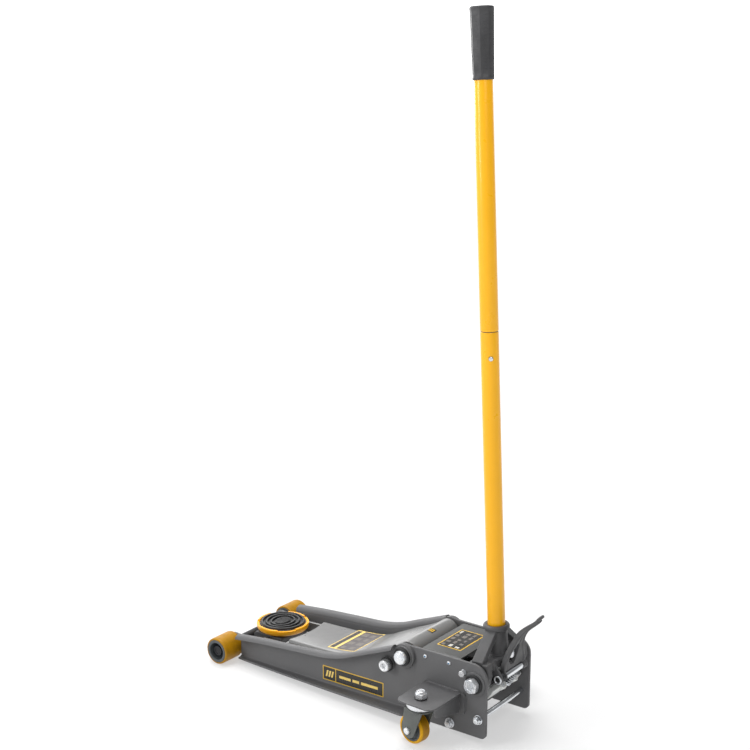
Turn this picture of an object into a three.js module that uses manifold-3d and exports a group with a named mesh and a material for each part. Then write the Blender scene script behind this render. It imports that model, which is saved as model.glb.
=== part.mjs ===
// Hydraulic trolley jack (floor jack) as an assembly of separate pieces.
// Units are millimetres, +Z is up, +X points to the operator's end (handle),
// -X to the saddle end. The chassis and everything on it is laid out square to
// the side plates, with X = 0 at their rear edge, in a group that is tilted a
// little about the front axle, because the rear stands higher on its casters.
// The casters and front rollers stand square on the floor, z = 0. The whole is
// shifted at the end so that its origin is the bottom centre of its box.
import * as THREE from 'three';
import { mergeVertices } from 'three/addons/utils/BufferGeometryUtils.js';
import Module from 'manifold-3d';

const wasm = await Module();
wasm.setup();

// ---------------------------------------------------------------- dimensions
const GAP = 0.3;                 // assembly gap between touching pieces
const PLATE_T = 6;               // side plate thickness
const PLATE_TOP = 151;           // top edge of the rear part of the plates
const PLATE_BOTTOM = -3.5;        // lower edge of the rear part, behind the flange
const PLATE_FRONT = -640;
const LIP_R = 11;                // centre radius of the rolled top lip
const LIP_T = 5;
const FLANGE_T = 5;
const FLANGE_Z = 9.5;            // centre height of the bottom flange

const ARM_PIVOT = [-196, 127];   // main pivot of the lift arm (x, z)
const ARM_PIN_R = 14.5;
const SADDLE_PIVOT = [-600, 42]; // yoke pin at the front of the arm
const LINK_OFFSET = [-39, -27];  // levelling link pivots, relative to the arm pivots
const LINK_Y = 54;
const LINK_R = 4.5;
const LEVER_R = 45;              // radius of the ram lever on the arm
const LEVER_REST = 33.5 * Math.PI / 180;
const CYL_Z = 86;                // axis height of the hydraulic cylinder

const SADDLE_R = 59.5;
const SADDLE_TOP = 75;

const HANDLE_PIVOT = [-28, 110]; // handle socket pivot (x, z)
const HANDLE_LEAN = -2.81 * Math.PI / 180;
const HANDLE_R = 18;
const HANDLE_WALL = 2;
const HANDLE_FOOT = 34;          // distances along the handle from its pivot
const HANDLE_JOINT = 695;
const HANDLE_END = 1298;
const GRIP_FOOT = 1170.4;
const GRIP_END = 1304.6;
const BUTTON_AT = 643;
const BUTTON_DIR = Math.atan2(-0.8, 0.6);
const PUMP_SHAFT = [32.5, 4];    // pump roller shaft, relative to the socket pivot
const ROLLER_R = 7.5;
const LOCK_Z = 40.5;               // lock screw height along the handle
const PLUNGER_DIR = [-0.6, -0.8];

const FRONT_AXLE = [-672, 30];
const WHEEL_R = 30;
const FRONT_WHEEL_IN = 89.5;
const FRONT_WHEEL_OUT = 146;

const FRAME_TILT = 1.4 * Math.PI / 180;   // chassis rises towards the rear
const CASTER_STEM = [-109, 159];
const CASTER_TRAIL = 13.5;
const CASTER_R = 31;
const CASTER_W = 24.8;
const CASTER_SWIVEL = 8 * Math.PI / 180;
const BRACKET_TOP = 98.4;

const CENTRE_X = -317.2;           // middle of the overall length

// ------------------------------------------------------------------ finishes
const mat = (hex, roughness, metalness) =>
  new THREE.MeshStandardMaterial({ color: new THREE.Color(hex), roughness, metalness });
const FRAME_PAINT = mat('#5f6163', 0.42, 0.1);
const ARM_PAINT = mat('#85878a', 0.4, 0.1);
const CAST_PAINT = mat('#4b4c4d', 0.6, 0.1);
const ZINC = mat('#c9cdd0', 0.3, 0.9);
const STEEL = mat('#9a9da0', 0.35, 0.9);
const CHROME = mat('#dfe3e6', 0.12, 1.0);
const YELLOW = mat('#f0ae1c', 0.3, 0.0);
const TREAD = mat('#cf9a16', 0.5, 0.0);
const RUBBER = mat('#1d1d1e', 0.75, 0.0);
const CORE = mat('#4a4c50', 0.55, 0.2);
const OIL_BLACK = mat('#333436', 0.5, 0.3);

// ------------------------------------------------------------------- helpers
const root = new THREE.Group();
root.name = 'floor_jack';
const frame = new THREE.Group();   // tilted about the front axle
frame.rotation.y = -FRAME_TILT;
{
  const [ax, az] = FRONT_AXLE, c = Math.cos(FRAME_TILT), s = Math.sin(FRAME_TILT);
  frame.position.set(ax - (ax * c - az * s), 0, az - (ax * s + az * c));
}
root.add(frame);
const deg = (d) => d * Math.PI / 180;

function weld(source) {
  let g = source.index ? source.toNonIndexed() : source.clone();
  for (const key of Object.keys(g.attributes)) if (key !== 'position') g.deleteAttribute(key);
  const p = g.attributes.position;
  for (let i = 0; i < p.array.length; i += 1) p.array[i] = Math.round(p.array[i] * 1e4) / 1e4;
  g = mergeVertices(g, 1e-4);
  const idx = g.index.array;
  const keep = [];
  for (let i = 0; i < idx.length; i += 3) {
    const [a, b, c] = [idx[i], idx[i + 1], idx[i + 2]];
    if (a !== b && b !== c && c !== a) keep.push(a, b, c);
  }
  const q = g.attributes.position;
  let vol = 0;
  const A = new THREE.Vector3(), B = new THREE.Vector3(), C = new THREE.Vector3();
  for (let i = 0; i < keep.length; i += 3) {
    A.fromBufferAttribute(q, keep[i]);
    B.fromBufferAttribute(q, keep[i + 1]);
    C.fromBufferAttribute(q, keep[i + 2]);
    vol += A.dot(B.cross(C)) / 6;
  }
  if (vol < 0) for (let i = 0; i < keep.length; i += 3) [keep[i + 1], keep[i + 2]] = [keep[i + 2], keep[i + 1]];
  g.setIndex(keep);
  return g;
}

// geometry -> solid
function solid(geometry) {
  const g = weld(geometry);
  return new wasm.Manifold(new wasm.Mesh({
    numProp: 3,
    vertProperties: new Float32Array(g.attributes.position.array),
    triVerts: new Uint32Array(g.index.array),
  }));
}

// solid -> named mesh in a group
function add(name, s, material, parent = frame) {
  const m = s.getMesh();
  const g = new THREE.BufferGeometry();
  g.setAttribute('position', new THREE.BufferAttribute(new Float32Array(m.vertProperties), 3));
  g.setIndex(new THREE.BufferAttribute(new Uint32Array(m.triVerts), 1));
  g.computeVertexNormals();
  const mesh = new THREE.Mesh(g, material);
  mesh.name = name;
  parent.add(mesh);
  return mesh;
}

const union = (...list) => list.reduce((a, b) => a.add(b));
const cut = (base, ...list) => list.reduce((a, b) => a.subtract(b), base);

// box between two corners
function box(x0, x1, y0, y1, z0, z1) {
  const g = new THREE.BoxGeometry(x1 - x0, y1 - y0, z1 - z0);
  g.translate((x0 + x1) / 2, (y0 + y1) / 2, (z0 + z1) / 2);
  return solid(g);
}

// round bar along Y, Z or X, or in any direction between two points
function barY(r, y0, y1, x, z, n = 18) {
  const g = new THREE.CylinderGeometry(r, r, y1 - y0, n);
  g.translate(x, (y0 + y1) / 2, z);
  return solid(g);
}
function barZ(r, z0, z1, x = 0, y = 0, n = 18) {
  const g = new THREE.CylinderGeometry(r, r, z1 - z0, n);
  g.rotateX(Math.PI / 2);
  g.translate(x, y, (z0 + z1) / 2);
  return solid(g);
}
function barX(r, x0, x1, y, z, n = 18) {
  const g = new THREE.CylinderGeometry(r, r, x1 - x0, n);
  g.rotateZ(Math.PI / 2);
  g.translate((x0 + x1) / 2, y, z);
  return solid(g);
}
function bar(r, a, b, n = 14) {
  const A = new THREE.Vector3(...a), B = new THREE.Vector3(...b);
  const d = B.clone().sub(A);
  const g = new THREE.CylinderGeometry(r, r, d.length(), n);
  g.applyQuaternion(new THREE.Quaternion().setFromUnitVectors(new THREE.Vector3(0, 1, 0), d.clone().normalize()));
  const c = A.clone().add(B).multiplyScalar(0.5);
  g.translate(c.x, c.y, c.z);
  return solid(g);
}

// turned part: profile of [r, z] closed on the axis or on itself, about Z
function turned(profile, n = 20) {
  const pts = profile.map(([r, z]) => new THREE.Vector2(r, z));
  const onAxis = profile[0][0] === 0 && profile[profile.length - 1][0] === 0;
  if (!onAxis) pts.push(pts[0].clone());
  const g = new THREE.LatheGeometry(pts, n);
  g.rotateX(Math.PI / 2);
  return g;
}
const turnedZ = (profile, x = 0, y = 0, n = 20) => { const g = turned(profile, n); g.translate(x, y, 0); return solid(g); };
// the same profile about the Y axis; z of the profile becomes y, mirrored by side
function turnedY(profile, x, z, side = 1, n = 18) {
  const g = turned(profile, n);
  g.rotateX(-Math.PI / 2);
  if (side < 0) g.rotateX(Math.PI);
  g.translate(x, 0, z);
  return solid(g);
}
function turnedX(profile, y, z, n = 20) {
  const g = turned(profile, n);
  g.rotateY(Math.PI / 2);
  g.translate(0, y, z);
  return solid(g);
}

function shapeOf(pts, holes = []) {
  const s = new THREE.Shape(pts.map(([a, b]) => new THREE.Vector2(a, b)));
  for (const h of holes) s.holes.push(new THREE.Path(h.map(([a, b]) => new THREE.Vector2(a, b))));
  return s;
}
// outline in X-Z, thickness along Y
function plateXZ(pts, y0, y1, holes = []) {
  const g = new THREE.ExtrudeGeometry(shapeOf(pts, holes), { depth: y1 - y0, bevelEnabled: false });
  g.rotateX(Math.PI / 2);          // (x, y, z) -> (x, -z, y)
  g.translate(0, y1, 0);
  return solid(g);
}
// outline in Y-Z, thickness along X
function plateYZ(pts, x0, x1, holes = []) {
  const g = new THREE.ExtrudeGeometry(shapeOf(pts, holes), { depth: x1 - x0, bevelEnabled: false });
  const m = new THREE.Matrix4().set(0, 0, 1, x0, 1, 0, 0, 0, 0, 1, 0, 0, 0, 0, 0, 1);
  g.applyMatrix4(m);
  return solid(g);
}
// outline in X-Y, thickness along Z
function plateXY(pts, z0, z1, holes = []) {
  const g = new THREE.ExtrudeGeometry(shapeOf(pts, holes), { depth: z1 - z0, bevelEnabled: false });
  g.translate(0, 0, z0);
  return solid(g);
}
function hexPoints(af, cx = 0, cy = 0, turn = 0) {
  const r = af / Math.sqrt(3);
  return Array.from({ length: 6 }, (_, i) => [cx + r * Math.cos(turn + i * Math.PI / 3), cy + r * Math.sin(turn + i * Math.PI / 3)]);
}
function circlePoints(r, cx, cy, n = 20, from = 0, to = 2 * Math.PI, closed = true) {
  const out = [];
  const k = closed ? n : n + 1;
  for (let i = 0; i < k; i += 1) {
    const a = from + (to - from) * i / n;
    out.push([cx + r * Math.cos(a), cy + r * Math.sin(a)]);
  }
  return out;
}
// convex outline around points and discs [x, y, r]
function hull(discs, n = 16) {
  const pts = [];
  for (const [x, y, r] of discs) pts.push(...(r > 0 ? circlePoints(r, x, y, n) : [[x, y]]));
  pts.sort((a, b) => a[0] - b[0] || a[1] - b[1]);
  const cross = (o, a, b) => (a[0] - o[0]) * (b[1] - o[1]) - (a[1] - o[1]) * (b[0] - o[0]);
  const half = (list) => {
    const h = [];
    for (const p of list) {
      while (h.length >= 2 && cross(h[h.length - 2], h[h.length - 1], p) <= 1e-9) h.pop();
      h.push(p);
    }
    h.pop();
    return h;
  };
  return half(pts).concat(half(pts.slice().reverse()));
}
// section swept through numbered stations: at(u, v, k) gives the point
function swept(section, stations, at) {
  const n = stations.length - 1;
  const g = new THREE.ExtrudeGeometry(shapeOf(section), { depth: n, steps: n, bevelEnabled: false });
  const p = g.attributes.position;
  for (let i = 0; i < p.count; i += 1) {
    const k = Math.round(p.getZ(i));
    const q = at(p.getX(i), p.getY(i), stations[k]);
    p.setXYZ(i, q[0], q[1], q[2]);
  }
  return solid(g);
}
function table(rows) {
  return (x) => {
    if (x <= rows[0][0]) return rows[0][1];
    for (let i = 1; i < rows.length; i += 1) {
      if (x <= rows[i][0]) {
        const t = (x - rows[i - 1][0]) / (rows[i][0] - rows[i - 1][0]);
        return rows[i - 1][1] + t * (rows[i][1] - rows[i - 1][1]);
      }
    }
    return rows[rows.length - 1][1];
  };
}
// closed strip of constant thickness along a centre line of points
function strip(line, t) {
  const left = [], right = [];
  for (let i = 0; i < line.length; i += 1) {
    const a = line[Math.max(i - 1, 0)], b = line[Math.min(i + 1, line.length - 1)];
    const d = Math.hypot(b[0] - a[0], b[1] - a[1]);
    const nx = -(b[1] - a[1]) / d, ny = (b[0] - a[0]) / d;
    left.push([line[i][0] + nx * t / 2, line[i][1] + ny * t / 2]);
    right.push([line[i][0] - nx * t / 2, line[i][1] - ny * t / 2]);
  }
  return left.concat(right.reverse());
}

// --------------------------------------------------------------- side plates
const webOuter = table([[-640, 99], [-560, 98], [-470, 97], [-373, 95.5], [-300, 93.5], [-222, 91], [-160, 87.8], [-110, 87], [0, 87]]);
const lipTop = table([[-640, 67], [-562, 75], [-470, 82], [-400, 87], [-373, 91], [-341, 99], [-295, 117], [-216, 148.5]]);
const rearTop = [];
for (const a of [90, 67.5, 45, 22.5, 0]) rearTop.push([-32 + 32 * Math.cos(deg(a)), PLATE_TOP - 32 + 32 * Math.sin(deg(a))]);
const webTop = table([[-640, 53.5], [-562, 61.5], [-470, 68.5], [-400, 73.5], [-373, 77.5], [-341, 85.5], [-295, 103.5], [-250, 121.5],
  [-222, 133], [-217, 141.5], [-209, 148.6], [-196, 152], [-182, 151], ...rearTop.map(([x, z]) => [x, z])]);
const webBottom = table([[-640, 13], [-182, 13], [-150, PLATE_BOTTOM], [-12, PLATE_BOTTOM], [-6, PLATE_BOTTOM + 1.6], [-2.44, PLATE_BOTTOM + 4.8], [0, PLATE_BOTTOM + 12]]);
const WEB_X = [-640, -562, -470, -400, -373, -341, -295, -222, -217, -209, -196, -182, -165, -150, -110,
  ...rearTop.map(([x]) => x).filter((x) => x < -12.1), -12, -9.37, -6, -2.44, 0];

function sidePlate(side) {
  const web = swept([[0, 0], [1, 0], [1, 1], [0, 1]], WEB_X, (u, v, x) => {
    const y = webOuter(x) - PLATE_T * (1 - u);
    return [x, side * y, webBottom(x) + v * (webTop(x) - webBottom(x))];
  });
  // rolled lip: p is outward from the web, q is up from the web's top edge
  const lipLine = [[-PLATE_T / 2, -5], [-PLATE_T / 2, 0]];
  for (const a of [144, 108, 68, 25]) lipLine.push([LIP_R - PLATE_T / 2 + LIP_R * Math.cos(deg(a)), LIP_R * Math.sin(deg(a))]);
  const lipX = [-640, -562, -470, -400, -373, -341, -295, -216];
  const lip = swept(strip(lipLine, LIP_T), lipX, (p, q, x) => [x, side * (webOuter(x) + p), lipTop(x) - LIP_R - LIP_T / 2 + q]);
  // bottom flange turned outward, with its front corner taken off
  const flLine = [[-PLATE_T / 2, 16], [-PLATE_T / 2, 8], [-PLATE_T / 2 + 2.4, 2.4], [-PLATE_T / 2 + 8, 0], [25, 0]];
  const reach = table([[-640, 10], [-604, 13], [-425, 21], [-300, 26], [-210, 30], [-184, 32], [-166, 14]]);
  const flX = [-640, -604, -425, -300, -210, -184, -166];
  const flange = swept(strip(flLine, FLANGE_T), flX, (p, q, x) => {
    const f = p > 10 ? reach(x) - 25 : 0;
    return [x, side * (webOuter(x) + p + f), FLANGE_Z + q];
  });
  // axle tongue inside the front wheel, joined to the web by a spacer
  const tongue = plateXZ(hull([[FRONT_AXLE[0], FRONT_AXLE[1], 23.5], [-600, 12, 0], [-600, 50, 0]], 18), side < 0 ? -84 : 78, side < 0 ? -78 : 84);
  const spacer = box(-636, -604, side < 0 ? -95 : 83, side < 0 ? -83 : 95, 18, 48);
  const boss = (r, out, [x, z]) => barY(r, side < 0 ? -out : 86, side < 0 ? -86 : out, x, z, 20);
  const hole = (r, [x, z], n = 18) => barY(r, side < 0 ? -140 : 60, side < 0 ? -60 : 140, x, z, n);
  const anchor = [ARM_PIVOT[0] + LINK_OFFSET[0], ARM_PIVOT[1] + LINK_OFFSET[1]];
  return cut(
    union(web, lip, flange, tongue, spacer, boss(26, 95, ARM_PIVOT), boss(16, 96, anchor), boss(25, 89.5, HANDLE_PIVOT)),
    hole(ARM_PIN_R + 0.4, ARM_PIVOT), hole(10.9, anchor), hole(10.3, HANDLE_PIVOT),
    hole(5.9, [-18, 36], 12), hole(6.3, [-85, 10], 12),
    hole(2.5, [-146, 138], 8), hole(2.5, [-89, 138], 8), hole(11.3, FRONT_AXLE),
  );
}
add('side_plate_left', sidePlate(-1), FRAME_PAINT);
add('side_plate_right', sidePlate(1), FRAME_PAINT);

// rear cover sheet between the plates, with two turned-down sides
{
  const cover = union(box(-160, -67, -80, 80, 147, 150), box(-160, -67, -80, -77, 128, 148), box(-160, -67, 77, 80, 128, 148));
  const drill = (x) => barY(2.5, -90, 90, x, 138, 8);
  add('rear_cover', cut(cover, drill(-146), drill(-89)), FRAME_PAINT);
}
function coverScrew(name, x, side) {
  const s = turnedY([[0, 76], [2.2, 76], [2.2, webOuter(x) + GAP], [3.8, webOuter(x) + GAP], [3.8, webOuter(x) + 1.6], [2.4, webOuter(x) + 2.8], [0, webOuter(x) + 2.8]], x, 138, side, 8);
  add(name, s, ZINC);
}
coverScrew('cover_screw_left_front', -146, -1);
coverScrew('cover_screw_left_rear', -89, -1);

// main pivot pin, tie rods and levelling link bolts
add('main_pivot_pin', turnedY([[0, -110], [12.5, -110], [ARM_PIN_R, -108], [ARM_PIN_R, 108], [12.5, 110], [0, 110]], ...ARM_PIVOT), ZINC);
function tieRod(name, x, z, r, af) {
  const head = (y0, y1) => plateXZ(hexPoints(af, x, z, 0.2), y0, y1);
  add(name, union(barY(r, -92, 92, x, z, 12), head(-94, -87.3), head(87.3, 94)), ZINC);
}
tieRod('lower_tie_rod', -18, 36, 5.5, 15);
tieRod('lower_spacer_bar', -85, 10, 6, 16);
function linkBolt(name, side) {
  const x = ARM_PIVOT[0] + LINK_OFFSET[0], z = ARM_PIVOT[1] + LINK_OFFSET[1];
  add(name, turnedY([[0, 49], [10.5, 49], [10.5, 96.4], [12.5, 96.4], [12.5, 109.5], [11, 111], [5.6, 111], [5.6, 104], [0, 104]], x, z, side), ZINC);
}
linkBolt('link_bolt_left', -1);
linkBolt('link_bolt_right', 1);

// front axle bar and wheels
add('front_axle', turnedY([[0, -143], [8, -143], [8, -88.6], [11, -88.6], [11, 88.6], [8, 88.6], [8, 143], [0, 143]], ...FRONT_AXLE), STEEL);
function frontWheel(tag, side) {
  const a = FRONT_WHEEL_IN, b = FRONT_WHEEL_OUT;
  add(`front_wheel_${tag}`, turnedY([[8.4, a], [25.6, a], [25.6, b - 0.5], [24.6, b], [19, b], [17.5, b - 24], [8.4, b - 26]], ...FRONT_AXLE, side, 24), CORE, root);
  add(`front_tread_${tag}`, turnedY([[25.9, a + 0.5], [28.4, a + 0.5], [WHEEL_R, a + 3], [WHEEL_R, b - 4], [28.4, b - 1], [25.9, b - 0.6]], ...FRONT_AXLE, side, 24), TREAD, root);
}
frontWheel('left', -1);
frontWheel('right', 1);

// ------------------------------------------------------------------ lift arm
const armTop = table([[-534, 67], [-440, 70], [-390, 73.5], [-362, 77.5], [-340, 84], [-320, 93.5], [-213, 144.5], [-204, 150.8], [-196, 152]]);
const armFoot = table([[-534, 26], [-440, 28], [-390, 36], [-350, 50], [-300, 80], [-262, 113], [-222, 116], [-196, 118]]);
const armHalf = table([[-534, 69], [-440, 71], [-350, 74], [-213, 76], [-196, 76]]);
{
  const X = [-534, -440, -390, -362, -350, -340, -320, -300, -262, -222, -213, -204, -196];
  const T = 4, WALL = 5;
  const skin = swept([[-1, 0], [1, 0], [1, 1], [-1, 1]], X, (u, v, x) => [x, u * armHalf(x), armTop(x) - T * (1 - v)]);
  const wall = (s) => swept([[0, 0], [1, 0], [1, 1], [0, 1]], X, (u, v, x) => [x, s * (armHalf(x) - WALL * (1 - u)), armFoot(x) + v * (armTop(x) - 2 - armFoot(x))]);
  const barrel = barY(25, -76, 76, ...ARM_PIVOT, 24);
  // front edge of the skin follows the saddle in a shallow arc with round corners
  const edge = [];
  for (let i = 0; i <= 6; i += 1) {
    const y = -60 + i * 20;
    edge.push([-519 - 9 * (y / 60) ** 2, y]);
  }
  const front = plateXY([[-700, -100], [-500, -100], [-514, -69], [-524, -66.5], ...edge, [-524, 66.5], [-514, 69], [-500, 100], [-700, 100]], 55, 200);
  const prong = (s) => plateXZ(hull([[...SADDLE_PIVOT, 11], [-500, 26, 0], [-500, 58, 0]]), s < 0 ? -69 : 61.5, s < 0 ? -61.5 : 69);
  const lugEnd = [ARM_PIVOT[0] + LEVER_R * Math.sin(LEVER_REST), ARM_PIVOT[1] - LEVER_R * Math.cos(LEVER_REST)];
  const lug = plateXZ(hull([[...ARM_PIVOT, 16], [...lugEnd, 11]]), -8, 8);
  const wallHoles = barY(14, -90, 90, ARM_PIVOT[0] + LINK_OFFSET[0], ARM_PIVOT[1] + LINK_OFFSET[1] - 2);
  const body = union(cut(union(skin, wall(-1), wall(1)), front, wallHoles), barrel, prong(-1), prong(1), lug);
  const arm = cut(body, barY(ARM_PIN_R + 0.4, -90, 90, ...ARM_PIVOT), barY(6.8, -90, 90, ...SADDLE_PIVOT), barY(7.3, -20, 20, ...lugEnd, 20));
  add('lift_arm', arm, ARM_PAINT);
  add('ram_lever_pin', turnedY([[0, -21], [7, -21], [7, 21], [0, 21]], ...lugEnd, 1, 20), STEEL);
}

// levelling links inside the arm's side walls
function link(name, side) {
  const a = [ARM_PIVOT[0] + LINK_OFFSET[0], ARM_PIVOT[1] + LINK_OFFSET[1]];
  const b = [SADDLE_PIVOT[0] + LINK_OFFSET[0], SADDLE_PIVOT[1] + LINK_OFFSET[1]];
  const y0 = side < 0 ? -LINK_Y - 4 : LINK_Y - 4, y1 = y0 + 8;
  // cranked flat bar, so that it clears the low top skin of the arm
  const s = union(
    barY(14.5, y0, y1, ...a, 16), barY(7.5, y0, y1, ...b, 12),
    plateXZ(strip([a, [-362, 60], b], 2 * LINK_R), y0 + 0.5, y1 - 0.5),
  );
  add(name, cut(s, barY(10.9, y0 - 1, y1 + 1, ...a, 16), barY(4.3, y0 - 1, y1 + 1, ...b, 10)), STEEL);
}
link('level_link_left', -1);
link('level_link_right', 1);

// saddle yoke, its pin, the saddle cup and the rubber pad
{
  const [px, pz] = SADDLE_PIVOT, low = [px + LINK_OFFSET[0], pz + LINK_OFFSET[1]];
  const body = plateXZ([[-647, 12], [-643.5, 8.4], [-634, 8.4], [-588, 26], [-566, 38], [-563, 53.5], [-641, 53.5], [-647, 46]], -48, 48);
  const stub = (s) => barY(3.6, s < 0 ? -57.6 : 46, s < 0 ? -46 : 57.6, ...low, 10);
  const hollow = box(-632, -612, -34, 34, 0, 44);
  const yoke = cut(union(body, stub(-1), stub(1)), barY(6.8, -60, 60, px, pz), barZ(14, 50.1, 60, px, 0), hollow);
  add('saddle_yoke', yoke, CAST_PAINT);
  add('saddle_yoke_pin', turnedY([[0, -74], [6.5, -74], [6.5, 74], [0, 74]], px, pz, 1, 18), STEEL);
  add('saddle_cup', turnedZ([[0, 50.4], [13.5, 50.4], [13.5, 54], [48, 54], [56, 58.5], [SADDLE_R, 64], [SADDLE_R, 72], [53.5, 72], [53.5, 60], [0, 60]], px, 0, 32), YELLOW);
  add('saddle_pad', turnedZ([[0, 60.3], [53, 60.3], [53, 73], [51, SADDLE_TOP], [0, SADDLE_TOP]], px, 0, 32), RUBBER);
}

// ----------------------------------------------------------- hydraulic unit
const plungerAxis = (s) => {     // point on the pump plunger's axis, s along its travel
  const lateral = 28.2;
  return [HANDLE_PIVOT[0] + 0.8 * lateral + PLUNGER_DIR[0] * s, HANDLE_PIVOT[1] - 0.6 * lateral + PLUNGER_DIR[1] * s];
};
const PLUNGER_Y = 25;
const at3 = (s) => { const [x, z] = plungerAxis(s); return [x, PLUNGER_Y, z]; };
{
  const body = plateXZ([[-62, 40], [-38, 40], [-6.5, 74], [-6.5, 77.5], [-24, 89], [-44, 89], [-44, 112], [-62, 112]], -57, 57);
  const ears = union(box(-62, -42, -80.6, -50, 55, 84), box(-62, -42, 50, 80.6, 55, 84));
  const shoulder = box(-64, -40, 45, 60, 88.5, 120);
  const shoulder2 = box(-64, -40, -60, -45, 88.5, 120);
  const valveBore = barZ(6.4, 70, 95, HANDLE_PIVOT[0], 0, 20);
  const counter = bar(8.6, at3(-20), at3(26), 20);
  const bore = bar(4.9, at3(20), at3(53), 16);
  add('hydraulic_block', cut(union(body, ears), shoulder, shoulder2, valveBore, counter, bore), ZINC);
}
add('ram_cylinder', turnedX([[15, -126], [15, -62.3], [21, -62.3], [21, -136], [11.4, -136], [11.4, -126]], 0, CYL_Z, 20), STEEL);
add('reservoir_tube', turnedX([[26, -62.3], [30, -62.3], [30, -128], [21.4, -128], [21.4, -124], [26, -124]], 0, CYL_Z, 24), OIL_BLACK);
{
  const rod = turnedX([[0, -148], [11, -148], [11, -75], [14.7, -75], [14.7, -66], [0, -66]], 0, CYL_Z, 20);
  const head = box(-154, -146, -42, 42, 77, 93);
  const cheek = (y0) => box(-185, -153, y0, y0 + 9, 70, 100);
  const slotX = ARM_PIVOT[0] + LEVER_R * Math.sin(LEVER_REST);
  const slot = box(slotX - 8.2, slotX + 8.2, -30, 30, 74.2, 97.2);
  const neck = box(-155, -150, -19, 19, 72, 98);
  const relief = box(-160, -147.5, -8.8, 8.8, 83.5, 120);   // lets the lever lean over the cross head
  add('ram', cut(union(rod, head, neck, cheek(-19), cheek(10)), slot, relief), CHROME);
}
// return springs stand as plain tubes between the cross head and the block
for (const [tag, s] of [['left', -1], ['right', 1]]) {
  add(`return_spring_${tag}`, turnedX([[3.4, -145.6], [5.2, -145.6], [5.2, -62.4], [3.4, -62.4]], s * 37, CYL_Z - 1, 10), STEEL);
}
// pump plunger with its head, and the spring round it
const headTop = PUMP_SHAFT[0] * PLUNGER_DIR[0] + PUMP_SHAFT[1] * PLUNGER_DIR[1] + ROLLER_R + GAP;
add('pump_plunger', union(bar(9, at3(headTop), at3(headTop + 4), 20), bar(4.5, at3(headTop + 3), at3(28), 16)), STEEL);
add('pump_spring', cut(bar(7.9, at3(headTop + 4.3), at3(25.7), 16), bar(5.6, at3(headTop), at3(30), 16)), STEEL);
add('release_valve', turnedZ([[0, 70.6], [6, 70.6], [6, 97], [11, 97], [11, 108], [7.5, 108], [7.5, 102.6], [0, 102.6]], HANDLE_PIVOT[0], 0, 16), STEEL);

// --------------------------------------------------- handle socket and pedal
const socket = new THREE.Group();           // leans with the handle, at the socket pivot
socket.position.set(HANDLE_PIVOT[0], 0, HANDLE_PIVOT[1]);
socket.rotation.y = HANDLE_LEAN;
frame.add(socket);
const cosL = Math.cos(HANDLE_LEAN), sinL = Math.sin(HANDLE_LEAN);
// layout coordinates -> coordinates in the leaning frame
const lean = (x, z) => { const dx = x - HANDLE_PIVOT[0], dz = z - HANDLE_PIVOT[1]; return [dx * cosL - dz * sinL, dx * sinL + dz * cosL]; };
const shaft = lean(HANDLE_PIVOT[0] + PUMP_SHAFT[0], HANDLE_PIVOT[1] + PUMP_SHAFT[1]);
{
  const tube = turnedZ([[0, 19], [24, 19], [23.4, 56], [24.4, 84], [26.2, 87], [26.2, 92], [24.6, 95], [0, 95]], 0, 0, 24);
  const beam = box(-22, 24, -76, 76, 19, 38);
  const ear = (s) => plateXZ(hull([[0, 0, 21], [-21, 37, 0], [24, 37, 0], [27, 12, 0]]), s < 0 ? -76 : 60, s < 0 ? -60 : 76);
  const rib = (s) => plateYZ([[20 * s, 88], [24 * s, 88], [76 * s, 42], [76 * s, 30], [60 * s, 30], [60 * s, 40], [20 * s, 74]], -13, 13);
  const lug = (s) => plateXZ(hull([[...shaft, 9], [8, 22, 0], [8, 37, 0], [23, 37, 0]]), s < 0 ? -50 : 44, s < 0 ? -44 : 50);
  const body = union(tube, beam, ear(-1), ear(1), rib(-1), rib(1), lug(-1), lug(1));
  const s = cut(body,
    barZ(HANDLE_R + 0.6, 33.6, 120, 0, 0, 24), barZ(9.6, 0, 60, 0, 0, 16),
    barY(10.3, -100, 100, 0, 0), barY(5.4, -60, 60, ...shaft, 12), barX(4.4, 10, 60, 0, LOCK_Z, 10));
  add('handle_socket', s, CAST_PAINT, socket);
  // lock screw in the back of the socket, its round head in the pedal's opening
  add('handle_lock_screw', union(barX(8.6, 31.5, 36.3, 0, LOCK_Z, 20), barX(4, HANDLE_R + 0.7, 32, 0, LOCK_Z, 10)), ZINC, socket);
}
function socketBolt(name, side) {
  const [x, z] = HANDLE_PIVOT;
  const o = (v) => side < 0 ? -v : v;
  const span = (a, b) => [Math.min(o(a), o(b)), Math.max(o(a), o(b))];
  const flange = barY(20, ...span(89.8, 92.6), x, z, 20);
  const hex = plateXZ(hexPoints(30, x, z, 0.35), ...span(92.4, 104.5));
  add(name, union(flange, hex, barY(10, ...span(61, 90.5), x, z)), ZINC);
}
socketBolt('socket_bolt_left', -1);
socketBolt('socket_bolt_right', 1);

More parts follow.
